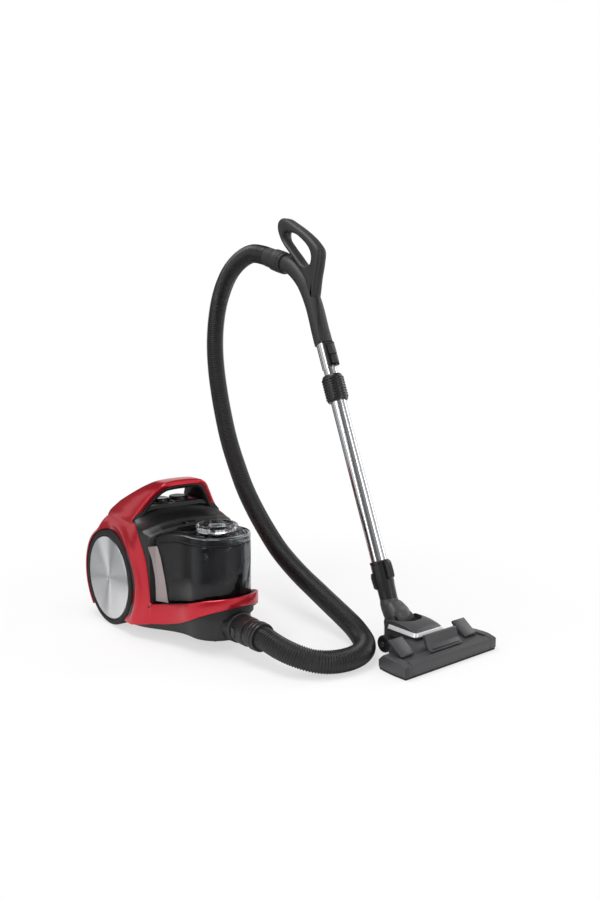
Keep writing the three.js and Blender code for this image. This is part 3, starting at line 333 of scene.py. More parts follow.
def bezier(a, b, c, d, steps=16):
    """Places along a cubic curve, without its last one."""
    a, b, c, d = (np.array(p, float) for p in (a, b, c, d))
    return [(1 - t)**3 * a + 3 * (1 - t)**2 * t * b + 3 * (1 - t) * t**2 * c + t**3 * d
            for t in np.arange(steps) / steps]


def polar(degrees, radius=REAR_RADIUS):
    """A place in (y, z) round the axle: 0 degrees is to the rear, 90 is up."""
    a = math.radians(degrees)
    return np.array((radius * math.cos(a), AXLE_HEIGHT + radius * math.sin(a)))


def bend(a, corner, b, shares):
    """Places on a bend from a to b that is drawn towards a corner."""
    return [(1 - t)**2 * a + 2 * (1 - t) * t * corner + t**2 * b for t in shares]


def straight(a, b, steps=8):
    """Places along a straight line, without its last one."""
    a, b = np.array(a, float), np.array(b, float)
    return [a + (b - a) * t for t in np.arange(steps) / steps]


side_outline = [polar(a) for a in np.arange(-44.3, 60, 3)]
side_outline += bend(polar(60), np.array((24, 264)), np.array((-45, CASING_TOP)), np.arange(12) / 12)
side_outline += straight((-45, CASING_TOP), (-92, CASING_TOP)) + straight((-92, CASING_TOP), (-93, 252))
side_outline += bezier((-93, 252), (-128, 242), (-150, 212), (-157, 158))
side_outline += bezier((-157, 158), (-160, 136), (CASING_FRONT, 112), (CASING_FRONT, 80))
side_outline += straight((CASING_FRONT, 80), (CASING_FRONT, 37.5)) + straight((CASING_FRONT, 37.5), (-110, UNDERSIDE))
side_outline += straight((-110, UNDERSIDE), (-75.6, UNDERSIDE)) + [np.array((-75.6, UNDERSIDE))]
outline_angle = [math.degrees(math.atan2(p[1] - AXLE_HEIGHT, p[0])) % 360 for p in side_outline]
outline_angle = [a - 360 if a > 300 else a for a in outline_angle]
outline_reach = [math.hypot(p[0], p[1] - AXLE_HEIGHT) for p in side_outline]


def plan_line(half, radius, back, steps=24):
    """Half a plan, from the back along one side and round the bin's front to the middle, in (x, y)."""
    side = [np.array((half, back))] + bezier((half, -95), (half, -157), (radius, -188), (radius, NOSE), steps)
    quarter = np.linspace(0, math.pi / 2, steps)
    return side + [np.array((radius * math.cos(a), NOSE - radius * math.sin(a))) for a in quarter]


def width_at(plan, y):
    """How far out a plan line is at a depth."""
    return np.interp(-y, [-p[1] for p in plan], [p[0] for p in plan])


casing_plan = plan_line(CASING_HALF, 86, 125)
shoulder = bezier((CASING_HALF, 174), (CASING_HALF, 239), (105, CASING_TOP), (60, CASING_TOP), 24)
shoulder.append((60, CASING_TOP))


def casing_x(y, z, inset=0.0):
    """Half the casing's width at a height and a depth."""
    narrowing = CASING_HALF - width_at(casing_plan, y)
    rounding = CASING_HALF - np.interp(z, [p[1] for p in shoulder], [p[0] for p in shoulder])
    return CASING_HALF - inset - math.hypot(narrowing, rounding)


def both_sides(half):
    """A half outline and its mirror image, joined at its last place."""
    return [*half, *[np.array((-p[0], *p[1:])) for p in half[-2::-1]]]


def outward(line, k, middle):
    """The direction square to a line at one of its places, away from a middle place."""
    run = line[min(k + 1, len(line) - 1)] - line[max(k - 1, 0)]
    out = np.array((run[1], -run[0])) / np.linalg.norm(run)
    return out if out @ (line[k] - np.array(middle)) > 0 else -out


def oblong(left, right, low, high):
    """A rectangle's four corners, in order."""
    return [(left, low), (right, low), (right, high), (left, high)]


def ease(t):
    """A share that starts and ends softly."""
    t = min(max(t, 0.0), 1.0)
    return t * t * (3 - 2 * t)


def sheet_side(angle):
    """One side of the shell along a ray from the axle: from the arch's lip to the casing's outline."""
    reach = np.interp(angle, outline_angle, outline_reach)
    room = reach - ARCH_RADIUS
    lip = 1.2 + 4.3 * ease((room - 6) / 40)
    fall = 2.6 * ease((room - 22) / 40)
    corner = (10 if angle < 55 else 10 - 7 * ease((angle - 55) / 25)) if angle < 97.4 else 0.0
    corner = min(corner, 0.75 * room)
    line = []
    for share in np.linspace(0, 1, SHEET_COLUMNS):
        r = ARCH_RADIUS + (room - corner) * share
        y, z = polar(angle, r)
        from_arch = r - ARCH_RADIUS
        x = casing_x(y, z) - lip * (1 - ease(from_arch / 19)) - fall * ease((from_arch - 20) / 14)
        line.append((x, y, z))
    return line, reach, corner


def skin(rings, closed=True, caps=True):
    """Faces between rings of places, one after the other, and end faces where they are wanted."""
    n = len(rings[0])
    points = [p for r in rings for p in r]
    faces = []
    for i in range(len(rings) - 1):
        for k in range(n if closed else n - 1):
            a, b = i * n + k, i * n + (k + 1) % n
            faces.append((a, b, b + n, a + n))
    if caps:
        faces += [tuple(range(n))[::-1], tuple(range((len(rings) - 1) * n, len(rings) * n))]
    return points, faces


def join(*parts):
    """Several sets of points and faces as one."""
    points, faces = [], []
    for p, f in parts:
        faces += [tuple(i + len(points) for i in face) for face in f]
        points += list(p)
    return points, faces


def piece(name, shape, paint, body, *stands_for, slot=None, wall=0.0, bevel=0.0, sharp=34, move=at, cuts=()):
    """A finished piece: welded, turned outwards, thickened, cut or bevelled if asked, smooth, and riding."""
    points, faces = shape
    mesh = bpy.data.meshes.new(name)
    mesh.from_pydata([tuple(move(*p)) for p in points], [], faces)
    raw = bmesh.new()
    raw.from_mesh(mesh)
    bmesh.ops.remove_doubles(raw, verts=raw.verts, dist=2e-6)
    bmesh.ops.dissolve_degenerate(raw, edges=raw.edges, dist=1e-6)
    bmesh.ops.recalc_face_normals(raw, faces=raw.faces)
    raw.to_mesh(mesh)
    raw.free()
    made = bpy.data.objects.new(name, mesh)
    bpy.context.collection.objects.link(made)
    mesh.materials.append(paint)
    if wall:
        thick = made.modifiers.new("wall", "SOLIDIFY")
        thick.thickness, thick.offset, thick.use_even_offset = wall / 1000, -1, True
    cutters = [piece("cutter", cut, paint, None, move=move) for cut in cuts]
    for cutter in cutters:
        cut = made.modifiers.new("cut", "BOOLEAN")
        cut.operation, cut.object, cut.solver = "DIFFERENCE", cutter, "EXACT"
    if bevel:
        soft = made.modifiers.new("soft_edges", "BEVEL")
        soft.width, soft.segments, soft.limit_method = bevel / 1000, 2, "ANGLE"
        soft.angle_limit = math.radians(40)
    settle(made)
    made.data.shade_smooth()
    made.data.set_sharp_from_angle(angle=math.radians(sharp))
    for cutter in cutters:
        bpy.data.objects.remove(cutter)
    if body:
        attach(made, body)
    if stands_for:
        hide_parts(*stands_for)
    return made


def settle(made):
    """Makes a piece's modifiers part of its mesh."""
    if not made.modifiers:
        return
    ready = made.evaluated_get(bpy.context.evaluated_depsgraph_get())
    mesh = bpy.data.meshes.new_from_object(ready)
    made.modifiers.clear()
    made.data = mesh


angles = sorted({*np.arange(-44, 227, 3.0), -44.3, 9.3, 47.8, 97.3, 118.1, 123.0, 203.8, 216.7, 227.2})
side_rows, back_rows = [], []
for angle in angles:
    row, reach, corner = sheet_side(angle)
    side_rows.append(row)
    if angle <= 97.3:
        y, z = polar(angle, reach)
        edge_x = casing_x(y, z)
        end_x = edge_x - max(corner, 1)
        turn = bend(np.array(row[-1]), np.array((edge_x, y, z)), np.array((end_x, y, z)), (0, 0.25, 0.5, 0.75, 1))
        column = min(GRILLE_HALF, end_x - 1)
        inward = [end_x + (column - end_x) * t for t in (0.33, 0.66, 1.0)] + [column * t for t in (0.66, 0.33, 0.0)]
        back_rows.append([*turn, *[(x, y, z) for x in inward]])
side_sheet = skin(side_rows, closed=False, caps=False)
back_points, back_faces = skin(back_rows, closed=False, caps=False)
width_of_row = len(back_rows[0])
grille_rows = [i for i, a in enumerate(angles[:len(back_rows)]) if 9.2 < a < 47.7]
back_faces = [f for f in back_faces
              if not (f[0] // width_of_row in grille_rows and f[0] % width_of_row >= width_of_row - 4)]
half_shell = join(side_sheet, (back_points, back_faces))
mirrored = ([(-x, y, z) for x, y, z in half_shell[0]], [f[::-1] for f in half_shell[1]])
piece("red_body_shell", join(half_shell, mirrored), red_paint, "canister", "body_shell", wall=SHELL_WALL, bevel=0.7)

# ---- Red front band ----
# A loose red bow that closes the casing round the bin's tray. It is moulded in the same paint and
# rises towards the front, with rounded upper and lower edges.
BAND_WALL = 5
low_table = ([-344.8, -325, -300, -270, -235, -200, -162.6], [99, 91.5, 80.4, 66, 52.6, 43.4, 37.6])
high_table = ([-344.8, -309, -258, -215, -162.6], [120.5, 115.5, 101, 90, 82])


def band_section(x, y, inward):
    """The band's section at one place of the plan: a closed loop with rounded corners."""
    low, high = np.interp(y, *low_table), np.interp(y, *high_table)
    return [(x + inward[0] * depth, y + inward[1] * depth, height) for depth, height in
            ((0, low + 4), (0.6, low + 1.2), (2.2, low), (BAND_WALL, low), (BAND_WALL, high - 1),
             (BAND_WALL - 0.8, high), (2.0, high), (0.5, high - 1.2), (0, high - 3.5), (-0.5, (low + high) / 2))]


band_back = CASING_FRONT - 0.2
first_x = width_at(casing_plan, band_back)
band_half = [np.array(p) for p in ((first_x - 3.2, -156), (first_x - 3.2, band_back + 0.1), (first_x, band_back))]
band_half += [p for p in plan_line(CASING_HALF, 86, band_back, 30) if p[1] < band_back - 0.9]
band_plan = both_sides(band_half)
band_rings = [band_section(*p, -outward(band_plan, k, (0, -200))) for k, p in enumerate(band_plan)]
piece("red_front_band", skin(band_rings), red_paint, "canister", "front_band")
for side in (-1, 1):
    tongue = [(side * (first_x - depth), y) for depth, y in ((5, -168), (1.4, -168), (0.9, -150), (5, -150))]
    piece("band_tongue", skin([[(x, y, z) for x, y in tongue] for z in (58, 85)]), red_paint, "canister")

# ---- Carry handle ----
# A hoop over the casing. A red cover lies on top of a black grip liner, both screwed down at the
# hoop's feet, and the hand goes through from the front, over the control deck.
COVER_DEPTH = 12
LINER_DEPTH = 20
hoop_half = [(108, 238), (113.5, 250), (101, 272), (89, 290), (78, 306), (66, 320.5), (48, 333.5), (26, 337.2),
             (0, 338)]
hoop_arc = through(both_sides(hoop_half), 6)
cover_front = ([238, 254, 279, 295, 311, 327, 334, 338], [-90, -90, -97, -105, -113, -126, -127, -121])
cover_rear = ([238, 262, 284, 303, 321, 338], [30, 24, 2, -28, -58, -88])
liner_front = ([238, 254, 279, 295, 309, 324, 330], [-93, -93, -100, -108, -115, -127.5, -128])
liner_rear = ([238, 262, 278, 290, 303, 321, 338], [4, 0, -8, -20, -34, -62, -91])
liner_rear_inside = ([238, 262, 284, 303, 321, 338], [24, 18, -4, -34, -62, -91])


def rounded(corners, radii, steps=4):
    """A closed outline with its corners rounded. A radius of 0 leaves a corner sharp."""
    corners = [np.array(c, float) for c in corners]
    radii = [radii] * len(corners) if isinstance(radii, (int, float)) else radii
    line = []
    for i, (c, r) in enumerate(zip(corners, radii)):
        before, after = corners[i - 1] - c, corners[(i + 1) % len(corners)] - c
        if not r:
            line.append(c)
            continue
        lb, la = np.linalg.norm(before), np.linalg.norm(after)
        angle = math.acos(np.clip(before @ after / lb / la, -1, 1))
        reach = min(r / max(math.tan(angle / 2), 1e-3), 0.49 * lb, 0.49 * la)
        a, b = c + before / lb * reach, c + after / la * reach
        line += bend(a, c, b, np.linspace(0, 1, steps))
    return line


def hoop_piece(inset, depth, front, rear, radius, rear_inside=None):
    """A band of the hoop between two depths under its top, with its own front and rear edges."""
    rings = []
    for k, (x, z) in enumerate(hoop_arc):
        out = outward(hoop_arc, k, (0, 249.999))
        corners = []
        for table, d in ((front, inset), (rear, inset), (rear_inside or rear, depth), (front, depth)):
            corners.append((np.interp(z - d * max(out[1], 0), *table), d))
        rings.append([(x - out[0] * d, y, z - out[1] * d) for y, d in rounded(corners, radius)])
    return skin(rings)


piece("red_handle_cover", hoop_piece(0, COVER_DEPTH, cover_front, cover_rear, [5, 7, 2, 2]), red_paint,
      "canister", "handle_cover", sharp=50)
liner = hoop_piece(COVER_DEPTH + 0.3, LINER_DEPTH, liner_front, liner_rear, [1.5, 0.5, 3, 4], liner_rear_inside)
piece("handle_grip_liner", liner, black_plastic, "canister", "handle_liner", sharp=50)

# ---- Console ----
# The black moulding between the handle and the bin: a hollow slope for the fingers, a ridge, a slot
# for the release bar and an upright wall that the bin stands against. It is clipped into the shell.
CONSOLE_INSET = 3.3
CONSOLE_FOOT = 79
OVER_ARCH = ARCH_RADIUS + 2.5
SLOT_HALF, SLOT_DEPTH = 72, 8
# Each row: a depth, and the console's height there in the middle and at its sides.
console_rows = [
    (-88.6, 275.5, 260), (-92, 274.5, 257), (-95, 270.5, 254), (-99, 265, 250.5), (-105, 260, 247),
    (-113, 256, 243.5), (-123, 253.2, 240.5), (-131, 252.6, 238.4), (-135, 253.6, 238), (-137.5, 253.6, 237.4),
    (-140, 251.6, 236), (-143.4, 249.6, 234.5), (-144.4, 249, 234), (-150, 247.2, 231.6), (-156.4, 245.4, 229.6),
    (-157.4, 245.2, 229.3), (-160.6, 244, 228), (-162, 242.6, 226.5), (-162.4, 240.5, 224.5)]


def console_section(y, z_middle, z_side):
    """A section across the console: down one side, across the top and down the other."""
    low = AXLE_HEIGHT + math.sqrt(OVER_ARCH**2 - y**2) if -y < OVER_ARCH else CONSOLE_FOOT
    edge = casing_x(y, z_side - 5, CONSOLE_INSET)
    heights = low + (z_side - 6 - low) * np.linspace(0, 1, 9)
    column = [(casing_x(y, z, CONSOLE_INSET), z) for z in heights]
    places = [edge - 0.6, edge - 2.2, edge - 5] + [edge - 5 - (edge - 6 - SLOT_HALF) * t for t in (0.35, 0.7, 1)]
    top = []
    for x in places + [SLOT_HALF * share for share in (1, 0.8, 0.6, 0.4, 0.2, 0)]:
        sink = SLOT_DEPTH if x <= SLOT_HALF and -156.9 < y < -143.9 else 0.0
        round_off = {edge - 0.6: 3.0, edge - 2.2: 1.2}.get(x, 0.0)
        top.append((x, z_middle + (z_side - z_middle) * (x / edge)**2.2 - sink - round_off))
    return both_sides([(x, y, z) for x, z in column + top])


piece("console", skin([console_section(*row) for row in console_rows]), black_plastic, "canister", "console", sharp=30)
bar_low, bar_high = extent("bin_release_button")
bar_half = (bar_high - bar_low)[0] / 2
bar_outline = rounded([(-155.4, 240), (-145.4, 240), (-145.4, 249.2), (-155.4, 247.4)], [0, 0, 2, 2])


def inset(outline_2d, cut):
    """An outline drawn in by a distance, or let out by a negative one."""
    loop = [np.array(p, float) for p in outline_2d]
    n = len(loop)
    area = sum(loop[i][0] * loop[(i + 1) % n][1] - loop[(i + 1) % n][0] * loop[i][1] for i in range(n))
    drawn = []
    for i in range(n):
        a, b = loop[i] - loop[i - 1], loop[(i + 1) % n] - loop[i]
        a = a / max(np.linalg.norm(a), 1e-6)
        b = b / max(np.linalg.norm(b), 1e-6)
        side = np.array((-a[1] - b[1], a[0] + b[0])) * (1 if area > 0 else -1)
        length = max(np.linalg.norm(side), 1e-6)
        drawn.append(loop[i] + cut * side / length * min(2 / length, 1.6))
    return drawn


def block(outline_2d, low, high, edge=0.8, to_3d=lambda a, b, c: (a, b, c), steps=2):
    """A prism from an outline, with its two end edges rounded off."""
    arc = [(edge * (1 - math.sin(a)), edge * (1 - math.cos(a))) for a in np.linspace(0, math.pi / 2, steps + 1)]
    levels = [(low + rise, cut) for cut, rise in arc] + [(high - rise, cut) for cut, rise in arc[::-1]]
    return skin([[to_3d(a, b, level) for a, b in inset(outline_2d, cut)] for level, cut in levels])


def along_x(a, b, c):
    """An outline's place in (y, z), at a distance to one side."""
    return (c, a, b)


piece("bin_release_bar", block(bar_outline, -bar_half, bar_half, 1.2, along_x), gloss_black, "release",
      "bin_release_button")

# ---- Control deck ----
# A separate black plate under the handle that carries the on/off and cable rewind buttons. Each
# button is a turned cap on a sprung stem, in a raised collar, and it travels straight down.
deck_top = extent("control_deck")[1][2]
deck_outline = rounded(oblong(-64, 64, -88, -22), [4, 4, 9, 9], 6)
piece("control_deck", block(deck_outline, deck_top - 7, deck_top, 1.4), black_plastic, "canister", "control_deck")


def deck_edge(y, inner_x, drop=0):
    """One side of the deck's surround at a depth, from low on the shell up to the deck."""
    outside = [(casing_x(y, z) + 0.9, y, z - drop) for z in (253, 258, 264, 270, 275, 279)]
    return outside + [(inner_x, y, CASING_TOP + 0.8 - drop)]


front_rows = [deck_edge(-94.6, 60, 9), deck_edge(-94.4, 60), deck_edge(-81, 60)]
skirts = [skin([row + [(-x, y, z) for x, y, z in row[::-1]] for row in front_rows], closed=False, caps=False)]
for side in (-1, 1):
    rows = [[(side * x, y, z) for x, y, z in deck_edge(y, 64.5)] for y in (-80.8, -60, -36, -22)]
    skirts.append(skin(rows, closed=False, caps=False))
piece("deck_surround", join(*skirts), black_plastic, "canister", wall=0.6)


def turned(profile, foot=(0, 0, 0), axis=(0, 0, 1), segments=72):
    """A turned solid from [radius, height] places, standing at its foot along an axis."""
    axis = np.array(axis, float)
    first = np.array((1, 0, 0)) if abs(axis[0]) < 0.5 else np.array((0, 1, 0))
    second = np.cross(axis, first)
    second /= np.linalg.norm(second)
    first = np.cross(second, axis)
    foot = np.array(foot, float)
    rings = []
    for radius, height in profile:
        rings.append([tuple(foot + axis * height + radius * (first * math.cos(a) + second * math.sin(a)))
                      for a in np.arange(segments) * math.tau / segments])
    return skin(rings, caps=False)


def cap_profile(top, radius, height, edge):
    """A button cap's half section, with a hollow for the fingertip and a rounded rim."""
    low = top - height
    rim = [(radius, low + 0.6), (radius, top - edge)]
    rim += [(radius - edge + edge * math.cos(a), top - edge + edge * math.sin(a)) for a in np.linspace(0.3, 1.5, 5)]
    flat = radius - edge
    hollow = [(r, top - 1.3 + 1.3 * (r / flat)**2) for r in (0.85 * flat, 0.6 * radius, 0.3 * radius, 0)]
    return [(0, low), (radius - 0.6, low)] + rim + hollow


rows_round, given, round_out = new_group("repeat_round", "GeometryNodeTree", GEOMETRY + [
    ("Count", "Int"), ("Axis", "Vector"), ("Centre", "Vector"), ("Start", "Float"), ("Step", "Float"),
    ("Shift", "Vector"), ("Paint", "Material")], GEOMETRY)
seats = node(rows_round, "GeometryNodePoints", {"Count": given["Count"]})[0]
copies = node(rows_round, "GeometryNodeInstanceOnPoints", {"Points": seats, "Instance": given["Geometry"]})[0]
number = node(rows_round, "GeometryNodeInputIndex")[0]
turn = calc(rows_round, "MULTIPLY_ADD", number, given["Step"], given["Start"])
turn, shift = (node(rows_round, "ShaderNodeVectorMath", {0: given[way], "Scale": size}, operation="SCALE")[0]
               for way, size in (("Axis", turn), ("Shift", number)))
copies = node(rows_round, "GeometryNodeRotateInstances", {
    "Instances": copies, "Rotation": turn, "Pivot Point": given["Centre"], "Local Space": False})[0]
copies = node(rows_round, "GeometryNodeTranslateInstances", {
    "Instances": copies, "Translation": shift, "Local Space": False})[0]
end_with_paint(rows_round, copies, given["Paint"], round_out)


def repeated(name, shape, paint, body, count, axis=(1, 0, 0), centre=(0, 0, 0), start=0.0, step=0.0,
             shift=(0, 0, 0), move=at):
    """Copies of one small shape, turned about an axis or set in a row, as one mesh piece."""
    source = piece(name + "_pattern", shape, paint, None, move=move)
    made = grow(source, rows_round, name, count=count, axis=tuple(map(float, axis)), centre=tuple(centre),
                start=float(start), step=float(step), shift=tuple(map(float, shift)), paint=paint)
    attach(made, body)
    return made


for name, paint in (("power", gloss_black), ("rewind", black_plastic)):
    low, high = extent(f"{name}_button")
    button_x, button_y = (low + high)[:2] / 2
    radius = (high - low)[0] / 2
    piece(f"{name}_button_cap", turned(cap_profile(high[2], radius, 8.2, 3.2), (button_x, button_y, 0)), paint, name,
          f"{name}_button")
    collar_shape = [(radius + out, deck_top + up) for out, up in
                    ((2.6, -1), (2.2, 1.8), (1.2, 2.6), (0.6, 1.8), (0.6, -1), (2.6, -1))]
    piece(f"{name}_collar", turned(collar_shape, (button_x, button_y, 0)), gloss_black, "canister")
rib = block(oblong(-20.9, -19.6, -0.5, 0.5), deck_top + 5.2, deck_top + 10, 0.3,
            lambda a, b, c: (a + button_x, b + button_y, c))
repeated("rewind_button_grip", rib, black_plastic, "rewind", 48, (0, 0, 1), at(button_x, button_y, 0),
         step=math.tau / 48)

# ---- Base housing ----
# The black lower moulding: flat under the wheels, with the wheel wells and the caster's recess cut
# into it, and a round bowl in front that carries the tray and the hose port.
BOWL_RADIUS = 70


def housing_ring(height, inset):
    """The housing's outline at one height. Its back follows the shell's round rear."""
    back = math.sqrt(REAR_RADIUS**2 - (AXLE_HEIGHT - height)**2) - 4
    return both_sides([(x, y, height) for x, y in plan_line(CASING_HALF - 3.4 - inset, BOWL_RADIUS - inset, back)])


wells = [turned([(0, 0), (ARCH_RADIUS, 0), (ARCH_RADIUS, 60), (0, 60)], (side * 88, 0, AXLE_HEIGHT), (side, 0, 0), 96)
         for side in (-1, 1)]
recess = turned([(0, 10), (27, 10), (27, 43), (0, 43)], (0, -260, 0), segments=48)
housing_levels = [(24.4, 8), (25, 4.6), (27, 2.2), (31, 0.8), (37, 0.2), (48, 0), (56, 0), (66, 0.3), (73.6, 0.8)]
piece("base_housing", skin([housing_ring(*row) for row in housing_levels]), black_plastic, "canister",
      "base_housing", cuts=[*wells, recess], sharp=32)

# ---- Exhaust grille and cable gland ----
# Slats of black plastic across the rear of the shell, in front of the pale exhaust filter, and a
# rubber gland at the lower left where the mains lead comes out.
SIDES = ((-1, "left"), (1, "right"))
slat = rounded([(108.5, -1.4), (116.6, -1.9), (117.2, -0.6), (117.2, 0.8), (116.4, 1.6), (108.5, 1.4)], 0.5, 3)
repeated("exhaust_slats", block([(r, h + AXLE_HEIGHT) for r, h in slat], -56, 56, 0.6, along_x), black_plastic,
         "canister", 10, (1, 0, 0), at(0, 0, AXLE_HEIGHT), math.radians(11.4), math.radians(3.8))
for side, name in SIDES:
    rings = [[(side * x, *polar(a, r)) for x, r in oblong(51, 57.6, 109, 117.3)] for a in np.arange(9.6, 47.6, 2.0)]
    piece(f"grille_frame_{name}", skin(rings), black_plastic, "canister", *(["exhaust_grille"] if side > 0 else []))
low, high = extent("cord_gland")
gland_shape = [(0, -9), (3.6, -9), (3.6, -1), (4.4, 0), (6.6, 0), (7.4, -1), (7.4, -2.4), (9, -3), (9, -14), (0, -14)]
gland_place = ((low + high)[0] / 2, high[1], (low + high)[2] / 2)
piece("cord_gland", turned(gland_shape, gland_place, (0, 1, 0), 40), black_rubber, "canister", "cord_gland")

# ---- Wheels ----
# Two large rear wheels. Each is a soft black tyre on a moulded hub, closed by a spun aluminium disc
# whose centre is left bare. A small twin-cheek caster carries the front.
spun_metal = finish("spun_aluminium", "spun_aluminium", linear(222, 223, 225), 0.3, 0.04, 200, 0.0, Metallic=1.0,
                    Anisotropic=1.0, Anisotropic_Rotation=0.25)
spin_tree = spun_metal.node_tree
spin_direction = node(spin_tree, "ShaderNodeTangent", direction_type="RADIAL", axis="X")[0]
feed(spin_tree, spin_tree.nodes["Principled BSDF"], {"Tangent": spin_direction})
for side, name in SIDES:
    inner_face = side * (min(abs(corner[0]) for corner in extent(f"wheel_tyre_{name}")) + 2.4)
    foot, axis = (inner_face, 0, AXLE_HEIGHT), (side, 0, 0)
    tread = [(96, 0), (105.5, 0), (107.6, 0.7), (108.7, 2.4), (108.9, 4.5), (108.9, 10.6), (107.4, 11.4), (107.4, 13),
             (108.9, 13.8), (108.9, 20.2), (107.4, 21), (107.4, 22.6), (108.9, 23.4), (108.9, 28.4), (108.2, 31.4),
             (106, 33.5), (103, 34), (98.6, 33.6), (97.4, 32.4), (96, 31.5), (96, 0)]
    piece(f"{name}_tyre", turned(tread, foot, axis, 128), black_rubber, f"{name}_wheel", f"wheel_tyre_{name}", sharp=45)
    nub = block([(107.8, -1.1), (109, -0.8), (109, 0.8), (107.8, 1.1)], 1.4, 9.8, 0.3,
                lambda a, b, c: (inner_face + side * c, a, AXLE_HEIGHT + b))
    repeated(f"{name}_tread_blocks", nub, black_rubber, f"{name}_wheel", 90, (1, 0, 0), at(0, 0, AXLE_HEIGHT),
             step=math.tau / 90)
    face = [(0, 28.4), (94.6, 28.4), (95, 29), (95, 31.4), (94.4, 32.6), (93, 33.3), (91, 33.4), (70, 32.5), (45, 31.3),
            (20, 30.3), (13, 30.1), (12.2, 29.7), (11, 29.6), (0, 29.9)]
    piece(f"{name}_wheel_disc", turned(face, foot, axis, 128), spun_metal, f"{name}_wheel", f"wheel_disc_{name}",
        sharp=20)

# ---- Bin tray ----
# The black cup that the bin stands in, screwed to the housing, with a turned-out lip that fills the
# space up to the red band.
BIN_HALF, BIN_ROUND, BIN_BACK = 116, 71, -163
BIN_FOOT = (0, NOSE, 0)
tray_plan = both_sides([p for p in plan_line(BIN_HALF, BIN_ROUND, BIN_BACK, 30) if p[1] <= BIN_BACK])
TRAY_MIDDLE = (0, -215)
rim_table = ([-345, -309, -258, -163], [118.6, 113.6, 98.6, 80])
tray_rings = []
for k, p in enumerate(tray_plan):
    out = outward(tray_plan, k, TRAY_MIDDLE)
    rim = np.interp(p[1] - 8, *rim_table)
    loop = ((2.4, 74.2), (5.4, 74.2), (5.4, rim - 11), (9.6, rim - 9.6), (9.6, rim - 1), (8.8, rim), (3.2, rim),
            (2.4, rim - 0.8))
    widest = 104.5 if p[1] > -176 else 200
    tray_rings.append([(float(np.clip(p[0] + out[0] * d, -widest, widest)), p[1] + out[1] * d, z) for d, z in loop])
tray_floor_plan = [p + outward(tray_plan, k, TRAY_MIDDLE) * 2.5 for k, p in enumerate(tray_plan)]
piece("bin_tray", join(skin(tray_rings), block(tray_floor_plan, 74.2, 77.6, 0.4)), dark_plastic, "canister",
      "bin_tray")

# ---- Dust bin ----
# A smoky clear container with a clear lid and twist knob. The dark ribbed cyclone hangs from the
# lid, and a black frame at the back holds the pale filter, which shows at both sides.
smoky = finish("smoky_clear_plastic", "smoky_clear", linear(168, 170, 174), 0.04, 0.02, 200, 0.0,
               Transmission_Weight=1.0, IOR=1.34)
clear = finish("clear_plastic", "smoky_clear", linear(176, 178, 181), 0.1, 0.02, 200, 0.0,
               Transmission_Weight=1.0, IOR=1.3)
cyclone_black = finish("cyclone_black_plastic", "black_plastic", linear(30, 30, 32), 0.16, 0.1, 300, 0.02)
pale_filter = finish("pleated_filter_fleece", "filter_foam", linear(160, 148, 148), 0.85, 0.2, 1500, 0.3)
wall_plan = plan_line(BIN_HALF, BIN_ROUND, -150, 30)


def droop(x, y):
    """How much the bin's top falls away towards its two rear corners, from 0 to 1."""
    return (abs(x) / 97)**3 * min(max((y - NOSE) / 95, 0), 1)**1.2


def wall_x(y, inset):
    """How far out the container's side wall is at a depth, less an inset."""
    return width_at(wall_plan, y) - inset


def bin_loop(inset, height, fall, scale=1.0):
    """The bin's outline at one height. It falls away at its rear corners, and may be drawn in to a scale."""
    side = [p for p in plan_line(BIN_HALF - inset, BIN_ROUND - inset, BIN_BACK, 30) if p[1] < BIN_BACK - 3]
    back, back_x = BIN_BACK - inset, wall_x(BIN_BACK - inset, inset)
    corner = rounded([(0, back), (back_x, back), tuple(side[0])], [0, 4, 0], 5)[1:-1]
    loop = both_sides([np.array((0.5 * back_x, back)), *corner, *side])
    return [(x * scale, NOSE + (y - NOSE) * scale, height - fall * droop(x, y)) for x, y in loop]


# Each row below is one loop: its inset, its height and its fall at the rear corners.
container = ((7, 78.2, 0), (3, 78.8, 0), (0.8, 81, 0), (0, 85, 0), (0, 150, 3), (0, 222, 11), (0.4, 225.2, 11),
             (1.2, 225.8, 11), (2, 225.2, 11), (2.4, 222, 11), (2.4, 150, 3), (2.4, 87, 0), (4.5, 82.5, 0), (9, 81, 0))
piece("bin_container", skin([bin_loop(*row) for row in container]), smoky, "bin", "bin_container", sharp=60)
seal = ((0.5, 226.1), (0.2, 227.1), (0.5, 228.1), (3.4, 228.1), (3.4, 226.1), (0.5, 226.1))
piece("bin_seal", skin([bin_loop(*row, 11) for row in seal], caps=False), black_rubber, "bin", "bin_seal")
lid = ((40, 240.9, 4, 0.4), (20, 240.9, 7), (4.4, 240.0, 12), (2.6, 237.4, 14), (2.4, 228.5, 11), (0, 228.5, 11),
       (0, 238.8, 14.2), (0.5, 241.8, 14.6), (1.8, 243.2, 15), (4.2, 243.3, 15), (5.6, 242.6, 14), (20, 242.9, 9),
       (40, 243.3, 5, 0.4))
piece("bin_lid", skin([bin_loop(*row) for row in lid]), smoky, "lid", "bin_lid", sharp=60)

